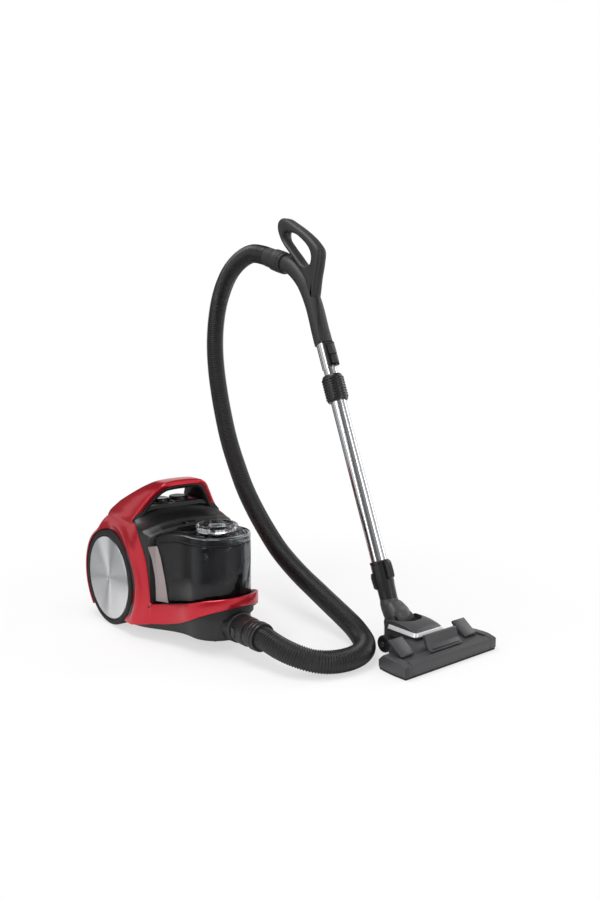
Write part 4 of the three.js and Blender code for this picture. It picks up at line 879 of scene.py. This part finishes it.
low, high = extent("bin_knob")
knob_top, knob_radius = high[2], (high - low)[0] / 2
knob_shape = [(0, 244.4), (20, 244.4), (22, 244), (34, 244)]
knob_shape += [(knob_radius - cut, z) for cut, z in ((3, 246), (0.6, 249), (0, 252))]
knob_shape += [(knob_radius - cut, knob_top - fall) for cut, fall in
               ((0, 5), (1.6, 1.6), (4.4, 0.2), (8.5, 0.2), (10.6, 1.4), (12, 8))]
knob_shape += [(r, knob_top - fall) for r, fall in ((20, 9), (18.4, 8), (17.6, 3.4), (15, 2), (0, 1.6))]
piece("bin_knob", turned(knob_shape, BIN_FOOT, segments=96), clear, "knob", "bin_knob")
rib_outline = [(knob_radius - a, b) for a, b in ((1, -0.9), (0.15, -0.6), (0.15, 0.6), (1, 0.9))]
grip_rib = block(rib_outline, 251, knob_top - 5.5, 0.2, lambda a, b, c: (a, b + NOSE, c))
repeated("knob_grip_ribs", grip_rib, clear, "knob", 36, (0, 0, 1), at(*BIN_FOOT), step=math.tau / 36)

low, high = extent("cyclone_cone")
cyclone_radius = (high - low)[0] / 2
drum_shape = [(cyclone_radius - cut, z) for cut, z in ((5, 90), (3.4, 87.5), (2, 90), (1.6, 214), (4, 218))]
drum_shape += [(46, 221), (30, 222.5), (25.4, 224), (24.4, 236), (23, 238), (20.6, 238), (20, 236), (20, 90),
               drum_shape[0]]
piece("cyclone", turned(drum_shape, BIN_FOOT, segments=96), cyclone_black, "lid", "cyclone_cone")
hoop_rib = [(cyclone_radius - cut, 100 + z) for cut, z in
            ((3, -1.3), (0.4, -0.7), (0, 0), (0.4, 0.7), (3, 1.3), (3, -1.3))]
repeated("cyclone_ribs", turned(hoop_rib, BIN_FOOT, segments=96), cyclone_black, "lid", 13, shift=(0, 0, 0.009))


def frame_loop(inset, height):
    """The plan of the filter frame, which lies against the inside of the container's back and sides."""
    half = [(0.0, -166.2), (wall_x(-166.2, 3.6 + inset) - 3, -166.2)]
    half += [(wall_x(y, 3.6 + inset), y) for y in np.linspace(-168.5, -197.0, 8)]
    return [(x, y, height) for x, y in half] + [(-x, y, height) for x, y in half[:0:-1]]


ribs_at = [z + 8.2 * k for k in range(15) for z in (88, 90, 90.6, 94.6, 95.2)]
frame_rings = [frame_loop(1.6 if (k % 5) in (0, 1, 4) else 0.2, z) for k, z in enumerate(ribs_at)]
piece("filter_frame", skin(frame_rings), cyclone_black, "bin", "filter_cassette", sharp=25)
flap = []
for degrees in np.linspace(-64, -40, 13):
    a, low = math.radians(degrees), 213 + 5 * max(abs(degrees + 52) - 7, 0)**2 / 25
    flap.append([(65 * math.sin(a), NOSE - 65 * math.cos(a), z) for z in (low, 226, 239)])
piece("inlet_flap", skin(flap, closed=False, caps=False), dark_plastic, "lid", wall=1.5)
piece("vortex_tube", turned([(22, 140), (24.6, 140), (24.6, 222), (22, 222), (22, 140)], BIN_FOOT), dark_plastic,
      "lid", "vortex_finder")
seam_y = ([84, 98, 140, 186, 210, 216.5], [-195.5, -193, -187, -178, -170.5, -167])
outer_edge = ([104, 140, 181, 212], [97, 99, 106, 115.5])
for side, name in SIDES:
    strip = []
    corner_x = wall_x(-167, -0.9)
    for z in np.linspace(88, 209, 13):
        reach_out = max(np.interp(z, *outer_edge), corner_x + 0.4)
        row = [(reach_out, -164.3), ((reach_out + corner_x) / 2, -165.4)]
        row += [(wall_x(y, -0.9), y) for y in np.linspace(-167, np.interp(z, *seam_y), 5)]
        strip.append([(side * x, y, z) for x, y in row])
    piece(f"filter_side_{name}", skin(strip, closed=False, caps=False), pale_filter, "bin", wall=0.5)
    seam = []
    for z in np.linspace(84, 216.5, 18):
        y = np.interp(z, *seam_y)
        seam.append([(side * (wall_x(y + ahead, 0) + out), y + ahead, z) for ahead, out in
                     ((0.9, 0.6), (0.5, 1.1), (-0.9, 1.1), (-1.3, 0.6), (-1.3, -0.4), (0.9, -0.4))])
    piece(f"bin_parting_seal_{name}", skin(seam), dark_plastic, "bin")

# ---- Hose port and hose end ----
# A collar on the housing takes the hose connector. The connector is held by two sprung oval latches,
# and the hose's own cuff turns in it. Collar, connector and cuff are in fine-grained black, the latches in gloss black.
PORT = (0, -313, 54.5)
FORWARD = (0, -1, 0)
collar_profile = [(24, 32), (24, 2), (30, 0), (35, -4), (34.2, 2), (33.2, 8), (32.4, 16), (32, 22), (32, 29.6),
                  (31.2, 31.2), (29.8, 32), (24, 32)]
piece("hose_port_collar", turned(collar_profile, PORT, FORWARD, 72), black_plastic, "canister", "port_collar")
latch_plan = [(-357 + 8.5 * math.cos(a), 54.5 + 11 * math.sin(a)) for a in np.arange(28) * math.tau / 28]
pockets = [block(inset(latch_plan, -0.5), 23.4, 36, 0.1, lambda a, b, c: (side * c, a, b)) for side in (-1, 1)]
connector_profile = [(20.6, 22), (23.7, 22), (23.7, 32.3), (28.6, 32.3), (29.8, 33), (30, 34.2), (30, 66),
                     (29.2, 69.6), (27.8, 70.2), (20.6, 70.2), (20.6, 22)]
piece("hose_connector", turned(connector_profile, PORT, FORWARD, 72), black_plastic, "canister", "hose_connector",
      cuts=pockets)
for side, name in SIDES:
    oval = block(latch_plan, 26, 31.4, 1.4, lambda a, b, c: (side * c, a, b), 3)
    piece(f"{name}_latch", oval, gloss_black, f"{name}_latch", f"connector_latch_{name}")
cuff_profile = [(17, 58.6), (19.9, 58.6), (19.9, 70.8), (26.8, 70.8), (28, 72), (28.2, 84), (27.4, 85.2), (27.4, 87),
                (28.6, 88), (29.6, 89.2), (30, 91), (30, 97), (29.2, 98.2), (28.2, 98.6), (28.2, 100.4), (29.2, 101),
                (29.6, 102.4), (29.4, 106.4), (28.4, 108.2), (25.2, 108.4), (17, 108.4), (17, 58.6)]
piece("hose_cuff", turned(cuff_profile, PORT, FORWARD, 72), black_plastic, "hose_cuff", "lower_hose_cuff")

# ---- Wand ----
# Two chromed steel tubes that slide in one another. The outer one has a rolled groove along it, a
# ribbed slide sleeve at its top and a black neck at its foot, with a sprung catch for the floor head.
WAND_X = sum(corner[0] for corner in extent("outer_tube")) / 2
NECK_FOOT = (-477, 92)
LEAN = math.radians(22)


def wand_place(x, y, z):
    """A place given across the wand and along it from the foot of its neck, in the canister's measures."""
    return (WAND_X + x, NECK_FOOT[0] + y * math.cos(LEAN) + z * math.sin(LEAN),
            NECK_FOOT[1] - y * math.sin(LEAN) + z * math.cos(LEAN))


def on_wand(x, y, z):
    """The same place in the scene."""
    return at(*wand_place(x, y, z))


chrome = finish("chrome_plate", "chrome_plate", linear(208, 209, 211), 0.17, 0.02, 120, 0.0, Metallic=1.0)


def tube_section(radius, dents=(), count=72):
    """A round section with shallow dents or ribs, each at an angle with its width and height."""
    ring = []
    for a in np.arange(count) * math.tau / count:
        r = radius
        for angle, width, height in dents:
            off = (a - math.radians(angle) + math.pi) % math.tau - math.pi
            r += height * math.exp(-(off / math.radians(width))**2)
        ring.append((r * math.cos(a), r * math.sin(a)))
    return ring


def lofted(levels, bore=None):
    """A solid from sections at heights, with an open bore if one is given."""
    rings = [[(x, y, z) for x, y in section] for z, section in levels]
    if bore:
        inside = tube_section(bore, count=len(rings[0]))
        rings += [[(x, y, levels[-1][0]) for x, y in inside], [(x, y, levels[0][0]) for x, y in inside], rings[0]]
    return skin(rings, caps=not bore)


def facing(a, b, c):
    """An outline's place across and along the wand, at a depth from front to back."""
    return (a, c, b)


grooved = tube_section(17.5, [(214, 9, -0.25)], 96)
piece("outer_tube", lofted([(70, grooved), (509, grooved)], 16.4), chrome, "lower_wand",
      "outer_tube", move=on_wand, sharp=60)
piece("inner_tube", lofted([(190, tube_section(15.6)), (609, tube_section(15.6))], 14.6), chrome, "canister",
      "inner_tube", move=on_wand, sharp=60)

ribs = [(252, 5, 1.0), (282, 5, 1.0), (180, 8, 0.7), (0, 8, 0.7), (90, 8, 0.7), (215, 6, 0.8), (318, 6, 0.8)]
neck_levels = [(height, tube_section(radius, [(a, w, share * rise) for a, w, rise in ribs]))
               for height, radius, share in
               ((0.2, 19.4, 0), (12, 19.5, 0.5), (26, 19.6, 1), (34, 20.8, 1), (44, 21, 1), (74, 21, 1), (75, 20.2, 0),
                (76.4, 20.2, 0), (77, 21.5, 0), (82, 21.5, 0), (83.2, 20.2, 0))]
catch_pocket = block(rounded(oblong(-10, 10, 40, 80.6), 3), -40, -19.2, 0.1, facing)
piece("neck_cuff", lofted(neck_levels, 17.9), black_plastic, "lower_wand", "neck_cuff",
      move=on_wand, cuts=[catch_pocket])
TAB_TURN = math.radians(146)
tab_out = (math.cos(TAB_TURN), math.sin(TAB_TURN))
tab = rounded([(18.5, 22), (25.4, 27), (26.4, 50), (24.6, 59), (18.5, 61)], [0, 2, 2, 2, 0])
tab_block = block(tab, -6, 6, 1.2,
                  lambda a, b, c: (tab_out[0] * a - tab_out[1] * c, tab_out[1] * a + tab_out[0] * c, b))
piece("neck_tab", tab_block, black_plastic, "lower_wand", move=on_wand)
catch = rounded([(-21.9, 42), (-25.4, 41.4), (-27.8, 45), (-28.6, 58), (-28, 73), (-26, 79.6), (-21.9, 79.4)],
                [0, 2, 2, 2, 2, 1, 0])
piece("neck_catch", block(catch, -9.2, 9.2, 1.6, along_x, 3), black_plastic, "neck_catch", "neck_latch", move=on_wand)
catch_rib = block(oblong(-29.2, -27.6, -0.6, 0.6), -6.6, 6.6, 0.3, lambda a, b, c: (c, a, 49 + b))
repeated("neck_catch_ribs", catch_rib, black_plastic, "neck_catch", 6,
         shift=(on_wand(0, 0, 3.4) - on_wand(0, 0, 0)), move=on_wand)

barrel = [(17.9, 450), (21.8, 450), (23.2, 451.4), (23.9, 455), (24.2, 462), (24.3, 481), (24.2, 497), (23.6, 505),
          (22.6, 509), (21, 511.4), (17.9, 511.4), (17.9, 450)]
piece("slide_sleeve", turned(barrel), black_plastic, "sleeve", "telescope_sleeve", move=on_wand)
arc_section = ((23.4, 455.8), (25.4, 456.5), (25.8, 458), (25.4, 459.5), (23.4, 460.2))
arcs = [skin([[(r * math.cos(a), r * math.sin(a), z) for r, z in arc_section]
              for a in np.radians(np.linspace(middle - 25, middle + 25, 11))])
        for middle in (30, 90, 150, 210, 270, 330)]
repeated("slide_sleeve_ribs", join(*arcs), black_plastic, "sleeve", 8,
         shift=(on_wand(0, 0, 6.3) - on_wand(0, 0, 0)), move=on_wand)

collar_foot = [524.4 + 7 * (0.5 - 0.5 * math.cos(a - math.radians(215))) for a in np.arange(72) * math.tau / 72]
collar_top = [587.6] * len(collar_foot)
collar_rings = [[(x, y, z) for (x, y), z in zip(tube_section(radius), heights)] for radius, heights in
                ((17.5, collar_foot), (17.5, collar_top), (16.15, collar_top), (16.15, collar_foot))]
window = block(rounded(oblong(-11.4, 11.4, 531.6, 583.4), 2), -32, -8, 0.1, facing)
piece("wand_collar", skin([*collar_rings, collar_rings[0]], caps=False), chrome, "canister", "wand_collar",
      move=on_wand, sharp=60, cuts=[window])


def frame_ring(outer, inner, low, high):
    """A flat frame between two outlines that have the same number of points."""
    rings = [[facing(a, b, level) for a, b in line] for line, level in
             ((outer, low), (inset(outer, -0.1), high - 1), (inset(outer, 0.8), high), (inner, high), (inner, low))]
    return skin([*rings, rings[0]], caps=False)


bezel = frame_ring(rounded(oblong(-13.4, 13.4, 529.6, 587.4), 4, 5), rounded(oblong(-11.5, 11.5, 531.5, 583.5), 2, 5),
                   -14.6, -19.6)
piece("lock_button_bezel", bezel, black_plastic, "canister", move=on_wand)
lock_low = rounded([(-13.2, 532.6), (-25, 533.6), (-26.8, 537), (-26.8, 553), (-25.8, 555.2), (-13.2, 555.8)],
                   [0, 2, 2, 2, 1, 0])
lock_high = rounded([(-13.2, 556), (-24.4, 556.4), (-25, 558), (-24.2, 579), (-22.8, 582.6), (-13.2, 582.6)],
                    [0, 1, 1, 3, 2, 0])
piece("lock_button", join(block(lock_low, -9, 9, 1.4, along_x), block(lock_high, -11, 11, 1.4, along_x)), black_plastic,
      "lock", "lock_button", move=on_wand)

# ---- Grip ----
# The grip is two moulded halves round a bent duct, with an open loop for the hand. A dark soft strip
# is let into its front, and the hose's upper cuff turns on the end of its duct.
loop_outline = [(-222, 712), (-233.4, 742), (-241, 783), (-250, 819), (-252, 846), (-233, 868), (-198, 893),
                (-159, 915), (-130, 929), (-112, 931), (-101, 923), (-99, 908), (-107, 888), (-122, 868), (-143, 848),
                (-168, 824), (-195, 795), (-212, 760)]
loop_hole = [(-123, 899), (-160, 895), (-190, 879), (-218, 855), (-227, 835), (-223, 819), (-210, 812), (-191, 818),
             (-166, 840), (-140, 864), (-123, 883)]


def across(a, b, c):
    """An outline's place in (y, z), at a distance to one side of the wand's middle."""
    return (WAND_X + c, a, b)


grip_black = finish("soft_grip_black", "black_plastic", linear(38, 38, 39), 0.52, 0.2, 1100, 0.12)
smooth_outline, smooth_hole = (through(line, 5, closed=True) for line in (loop_outline, loop_hole))
hole_half = ((16, -3.4), (14.6, -1.2), (12.6, 0.8), (9.6, 2.2), (6, 2.8))
hole_levels = [(-level, cut) for level, cut in hole_half] + list(hole_half[::-1])
hole_cutter = skin([[across(a, b, level) for a, b in inset(smooth_hole, cut)] for level, cut in hole_levels])


def swept(path, section, side=(1, 0, 0)):
    """A section carried along a path: places across it and square to it, from start to end."""
    path = [np.array(p, float) for p in path]
    rings = []
    for k, p in enumerate(path):
        run = path[min(k + 1, len(path) - 1)] - path[max(k - 1, 0)]
        out = np.cross(run, side)
        out /= np.linalg.norm(out)
        rings.append([tuple(p + np.array(side) * a + out * b) for a, b in section(k / (len(path) - 1))])
    return skin(rings)


duct_points = [wand_place(0, 0, 588.4), wand_place(0, 0, 618), (WAND_X, -221, 728), (WAND_X, -190, 778),
               (WAND_X, -156, 809), GRIP_END - 18 * OUT_OF_GRIP, GRIP_END - 0.7 * OUT_OF_GRIP]
duct_path = through(duct_points, 7)


def duct_section(t):
    """The duct's section at a share of its length, with two soft ridges in front at its foot."""
    radius = 20.9 - 0.6 * math.sin(math.pi * t)
    front = 1.2 * ease(1 - 2.2 * t)
    return tube_section(radius, [(238, 16, front), (302, 16, front)], 56)


grip_loop = piece("grip_loop", block(smooth_outline, -15, 15, 9.5, across, 6), grip_black, "canister", "grip_body",
                  cuts=[hole_cutter], sharp=50)
grip_duct = piece("grip_duct", swept(duct_path, duct_section), grip_black, "canister", sharp=50)
bpy.context.view_layer.update()
inlay_line = [(-15, wand_place(0, 0, 592)[2]), (-14, 671), (-10, 703), (-5, 735), (-1.5, 755), (0, 775), (0.5, 800),
              (0.5, 830), (0.5, 850)]
inlay_rings = []
for x, z in through(inlay_line, 4):
    hits = []
    for moulding in (grip_loop, grip_duct):
        from_scene = moulding.matrix_world.inverted()
        met, spot, normal, _ = moulding.ray_cast(from_scene @ at(WAND_X + x, -400, z), Vector((0, 1, 0)))
        if met:
            hits.append((spot.y, moulding.matrix_world @ spot, normal))
    _, spot, normal = min(hits, key=lambda hit: hit[0])
    sideways = normal.cross(Vector((0, 0, 1))).normalized()
    spot = (spot - at(0, 0, 0)) * 1000
    inlay_rings.append([tuple(spot + sideways * a + normal * b) for a, b in
                        ((-4.4, 0.1), (-3.6, 0.7), (3.6, 0.7), (4.4, 0.1), (4.4, -3), (-4.4, -3))])
piece("grip_inlay", skin(inlay_rings), dark_plastic, "canister", "grip_inlay", slot="gloss_black")
upper_cuff = [(18, 0), (24.2, 0), (25.6, 1.2), (25.8, 6), (24.8, 7), (24.8, 9), (26, 10), (26.4, 27), (25.4, 28.2),
              (25.4, 30), (26, 31.2), (26, 41), (24.6, 43.4), (23.4, 44.4), (23.2, 71), (18, 71), (18, 0)]
piece("grip_hose_cuff", turned(upper_cuff, GRIP_END, OUT_OF_GRIP, 64), grip_black, "grip_cuff", "grip_hose_cuff")

# ---- Floor head ----
# A wide dark-grey moulding with end caps and two raised pads, a domed cover with a chromed trim, a
# foot pedal that drops the bristle strips, and two small rear wheels beside the swivel elbow.
HEAD_HALF, HEAD_FRONT, HEAD_REAR = 137, -662, -582
ELBOW_AXLE = (WAND_X, -512, 46)
head_grey = finish("head_grey_plastic", "grey_plastic", linear(66, 66, 68), 0.42, 0.12, 900, 0.06)


def slab_loop(cut, height, front_cut=None, front_height=None):
    """The slab's outline at one height. Its front edge may lie lower and further back."""
    rear, front = HEAD_REAR - max(height - 19, 0), HEAD_FRONT + (cut if front_cut is None else front_cut)
    half = rounded([(0, front), (HEAD_HALF - 1.5 - cut, front), (HEAD_HALF - cut, HEAD_FRONT + 34),
                    (HEAD_HALF - 2 - cut, rear - 18), (HEAD_HALF - 5 - cut, rear - cut), (0, rear - cut)],
                   [0, 3, 6, 12, 5, 0], 6)
    loop = [(x, y, front_height if front_height and y < front + 6 else height) for x, y in half]
    return [(WAND_X + x, y, z) for x, y, z in loop] + [(WAND_X - x, y, z) for x, y, z in loop[-2:0:-1]]


slab = skin([slab_loop(*row) for row in ((1.4, 4.4), (0.4, 5), (0, 6.2), (0, 19), (0, 28.6, 0, 24.8),
                                         (0.7, 30.3, 0.7, 26.2), (2.2, 31, 17, 31))])
channel = block(rounded([(-648, 40), (-649.5, 30.4), (-647, 28), (-628, 27.4), (-620, 29.2), (-604, 31.4), (-604, 40)],
                        [0, 0.5, 1, 3, 6, 0, 0]), -118, 118, 0.15, across)
hollow = [(HEAD_FRONT + 5, 0), (HEAD_REAR - 5, 0), (HEAD_REAR - 5, 15), (HEAD_REAR - 12, 20), (HEAD_FRONT + 5, 20)]
underside_cut = block(hollow, -126, 126, 0.1, across)
piece("head_slab", slab, head_grey, "head", "head_body", cuts=[channel, underside_cut])
saddle = rounded([(-593, 8), (-500, 8), (-500, 20), (-506, 22), (-592, 29)], [0, 2, 2, 2, 0])
cheek = rounded([(-590, 10), (-498, 10), (-498, 50), (-506, 58), (-520, 58), (-590, 31)], [1, 4, 6, 6, 8, 1])
cheeks = [block(cheek, c, c + 9, 1.2, across) for c in (-33.6, 24.6)]
sweep = turned([(0, -24.9), (27, -24.9), (27, 24.9), (0, 24.9)], ELBOW_AXLE, (1, 0, 0), 48)
piece("head_saddle", block(saddle, -50, 50, 1.5, across), head_grey, "head", cuts=[sweep])
piece("head_cheeks", join(*cheeks), head_grey, "head")
mound_rings = []
for c in np.linspace(-84, 84, 29):
    rise, reach = ease((84 - abs(c)) / 34), ease((84 - abs(c)) / 20)
    rear = -583 + 31 * reach
    section = [(-628, 27), (-620, 30.6 + 3 * rise), (-604, 31 + 9 * rise), (-590, 31 + 11 * rise),
               (-575, 30 + 9 * rise), (rear - 4, 29 + 6 * rise), (rear, 25 + 4 * rise), (rear, 12), (-592, 12),
               (-628, 20)]
    mound_rings.append([across(a, b, c) for a, b in section])
piece("head_mound", skin(mound_rings), head_grey, "head")
pads = []
for c in (-95, 93):
    plate = rounded([(-628, 31), (-626.6, 34.4), (-594, 57.4), (-589, 55), (-590, 50), (-622, 27)], [1, 2, 2, 2, 1, 0])
    foot = [(-619, 27), (-592, 48), (-589, 27)]
    pads += [block(plate, c - 18, c + 18, 1.6, across), block(foot, c - 15, c + 15, 0.6, across)]
piece("head_pads", join(*pads), head_grey, "head")
seam_line = [(-661.4, 26), (-662.15, 25), (-662.15, 6), (-662.3, 6), (-662.3, 25.6), (-658, 28.35), (-644, 31.12),
             (-604, 31.12), (-604, 30.6), (-644, 30.6), (-658, 27.8)]
seams = [block(seam_line, c - 0.35, c + 0.35, 0.05, across) for c in (-118, 118)]
piece("end_cap_seams", join(*seams), dark_plastic, "head")
corner_rib = block(oblong(-662.0, -659, 7, 24.6), -0.7, 0.7, 0.3, lambda a, b, c: across(a, b, c - 134.5))
repeated("end_cap_ribs", corner_rib, dark_plastic, "head", 4, shift=(0.0027, 0, 0))


def cover_section(x):
    """The domed cover's section at a distance from the head's middle."""
    drop = 4.5 * (abs(x) / 39.6)**4
    tuck = 1.6 * ease((abs(x) - 38) / 1.6)
    front = [(-596, 31.4), (-596, 46), (-595.6, 53 - 0.3 * drop), (-593.5, 55.4 - 0.6 * drop)]
    dome = [(-588, 59.4 - 0.8 * drop)]
    dome += [(y, z - drop) for y, z in ((-576, 63.4), (-562, 66), (-544, 67.2), (-525, 67), (-515, 63.4))]
    rear = [(-510, 56.5 - 0.6 * drop), (-508.4 - tuck, 47), (-511, 38), (-513 - tuck, 31.4)]
    return [(WAND_X + x, y, z) for y, z in [*[(y + tuck, z) for y, z in front], *dome, *rear]]


mouth = [(0, -562), (14, -560), (24, -554), (31, -544), (34, -530), (34, -470)]
mouth_plan = rounded(mouth + [(-x, y) for x, y in mouth[:0:-1]], [8, 8, 8, 8, 8, 0, 0, 8, 8, 8, 8])
mouth_cutter = block([(WAND_X + x, y) for x, y in mouth_plan], 20, 90, 0.1)
inside_line = [(-593, 20), (-593, 52), (-588, 56.6), (-562, 62.6), (-525, 63.6), (-512, 60), (-504.6, 46), (-511, 20)]
inner_cutter = block(inside_line, -36.9, 36.9, 0.5, across)
stations = (39.6, 39.2, 38.4, 36, 32, 26, 18, 9)
piece("head_cover", skin([cover_section(x) for x in (*[-x for x in stations], 0, *stations[::-1])]), head_grey,
      "head", "head_cover", cuts=[mouth_cutter, inner_cutter], sharp=40)
trim_path = [(-40.9, -520), (-40.9, -560), (-40.9, -590), (-40.2, -595), (-38, -597.2), (-34, -597.5), (0, -597.5)]
trim_path = [np.array(p) for p in both_sides(trim_path)]
trim_section = ((-1.4, 46.4), (3.2, 46.4), (3.7, 47.2), (0.8, 53.9), (0.2, 54.4), (-1.4, 54.4))
trim_rings = []
for k, (x, y) in enumerate(trim_path):
    out = outward(trim_path, k, (0, -540))
    trim_rings.append([(WAND_X + x + out[0] * d, y + out[1] * d, z) for d, z in trim_section])
silver_trim = finish("silver_trim", "chrome_plate", linear(238, 238, 240), 0.24, 0.03, 300, 0.0, Metallic=0.35)
piece("chrome_trim", skin(trim_rings), silver_trim, "head", "chrome_trim", sharp=40)

hood = rounded([(-646, 31.4), (-646, 33), (-639, 35.4), (-633.6, 41), (-628, 61), (-620.4, 60), (-620, 56),
                (-625.5, 42), (-629, 36), (-634, 31.4)], [0.5, 0.8, 4, 5, 2, 2, 2, 5, 4, 1], 5)
piece("foot_pedal", block(hood, -46.5, 46.5, 1.2, across, 3), head_grey, "pedal", "head_pedal")
pedal_line = rounded([(-644, 32.4), (-644, 34.3), (-640.6, 35.5), (-640.6, 33.6)], 0.3)
piece("pedal_grip_line", block(pedal_line, -40, 40, 0.4, across), dark_plastic, "pedal")
for side, name in SIDES:
    place, axis = (WAND_X + side * 52, -526, 18), (side, 0, 0)
    wheel_shape = [(4.4, 0), (15.5, 0), (17.4, 1.2), (18, 3), (18, 9), (17.4, 10.8), (15.4, 12), (9, 11.4), (8, 10.4),
                   (4.4, 10.4), (4.4, 0)]
    piece(f"head_wheel_{name}", turned(wheel_shape, place, axis, 48), black_rubber, f"{name}_roller",
          f"head_wheel_{name}")
    axle_shape = [(0, -6), (4, -6), (4, 13), (5.6, 13.2), (5.6, 15.2), (4.6, 16), (0, 16)]
    piece(f"head_axle_{name}", turned(axle_shape, place, axis, 32), head_grey, "head")

elbow_line = [(*wand_place(0, 0, 0), 19.45, 19.45), (*wand_place(0, 0, -12), 20.8, 20), (WAND_X, -493, 71, 25, 22),
              (WAND_X, -504, 62, 27, 24), (WAND_X, -512.5, 51, 25.5, 22.5)]
elbow_path = through([p[:3] for p in elbow_line], 6)
elbow_wide, elbow_deep = (np.interp(np.linspace(0, 1, len(elbow_path)), np.linspace(0, 1, 5),
                                    [p[k] for p in elbow_line]) for k in (3, 4))


def elbow_section(t):
    """The elbow's section at a share of its length: round above, squarer at its foot."""
    k = round(t * (len(elbow_path) - 1))
    power = 2 + 0.8 * ease(2 * t)
    return [(elbow_wide[k] * math.copysign(abs(math.cos(a))**(2 / power), math.cos(a)),
             elbow_deep[k] * math.copysign(abs(math.sin(a))**(2 / power), math.sin(a)))
            for a in np.arange(56) * math.tau / 56]


elbow_drum = turned([(6.4, -23.8), (24.6, -23.8), (25.9, -22.4), (25.9, 22.4), (24.6, 23.8), (6.4, 23.8), (6.4, -23.8)],
                    ELBOW_AXLE, (1, 0, 0), 64)
piece("swivel_elbow", swept(elbow_path, elbow_section), head_grey, "elbow", "elbow", slot="black_plastic", sharp=50)
piece("elbow_drum", elbow_drum, dark_plastic, "elbow")

# ---- Underside of the head ----
# A flat sole plate closes the head below, and two rows of black bristles on a drop frame stand in its
# slots. The pedal lets them down for hard floors.
sole_plate = block([(x, y) for x, y, z in slab_loop(1.2, 4)], 0.2, 4.1, 0.5)
sole_slots = [block(oblong(WAND_X - 121, WAND_X + 121, y, y + 6), -3, 9, 0.1) for y in (-656.5, -598.5)]
piece("sole_plate", sole_plate, dark_plastic, "head", "sole_plate", cuts=sole_slots)
bristle_black = finish("bristle_nylon", "bristle", linear(24, 24, 25), 0.6, 0.3, 2500, 0.2)
tufts, given, tufts_out = new_group("bristle_rows", "GeometryNodeTree", GEOMETRY + [
    ("Seed", "Int"), ("Paint", "Material")], GEOMETRY)
hair_seats = node(tufts, "GeometryNodeDistributePointsOnFaces", {
    "Mesh": given["Geometry"], "Density": 520000, "Seed": given["Seed"]})["Points"]
hair = node(tufts, "GeometryNodeMeshCone", {
    "Vertices": 4, "Radius Top": 0.00022, "Radius Bottom": 0.0004, "Depth": 0.0105})["Mesh"]
hairs = node(tufts, "GeometryNodeInstanceOnPoints", {"Points": hair_seats, "Instance": hair})[0]
end_with_paint(tufts, hairs, given["Paint"], tufts_out)
beds = join(*[([at(x, y, 8.6) for x, y in oblong(WAND_X - 119, WAND_X + 119, row, row + 4)], [(0, 1, 2, 3)])
              for row in (-655.5, -597.5)])
bed_mesh = bpy.data.meshes.new("bristle_beds")
bed_mesh.from_pydata(beds[0], [], beds[1])
bed = bpy.data.objects.new("bristle_beds", bed_mesh)
bpy.context.collection.objects.link(bed)
bristles = grow(bed, tufts, "bristles", seed=3, paint=bristle_black)
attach(bristles, "brushes")
backs = [block(oblong(WAND_X - 120, WAND_X + 120, y, y + 5), 13.2, 16, 0.4) for y in (-656, -598)]
bars = [block(oblong(WAND_X + x, WAND_X + x + 5, -656, -593), 13.2, 16, 0.4) for x in (-120, 115)]
piece("brush_carrier", join(*backs, *bars), dark_plastic, "brushes", "brush_frame")

# ---- Pieces inside ----
# The motor, its fan and housing, the cable reel and the wheel hubs are seen only when the casing is
# open. They keep their solid shapes, in galvanised steel, bare metal and moulded plastic.
plain_steel = finish("zinc_plated_steel", None, linear(150, 152, 155), 0.35, Metallic=1.0)
pressed_steel = finish("galvanised_steel", None, linear(138, 141, 145), 0.42, 0.2, 60, 0.02, Metallic=1.0)
reel_grey = finish("reel_grey_plastic", None, linear(96, 97, 99), 0.5, 0.15, 700, 0.08)
inside_looks = {
    "wheel_hub_left": reel_grey, "wheel_hub_right": reel_grey, "caster_fork": black_plastic,
    "caster_wheel": black_rubber, "exhaust_filter": pale_filter, "motor_housing": reel_grey, "motor": pressed_steel,
    "motor_fan": pressed_steel, "cord_reel_drum": reel_grey, "reel_pin": plain_steel}
for node_name, look in inside_looks.items():
    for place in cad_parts[node_name].material_slots:
        place.material = look
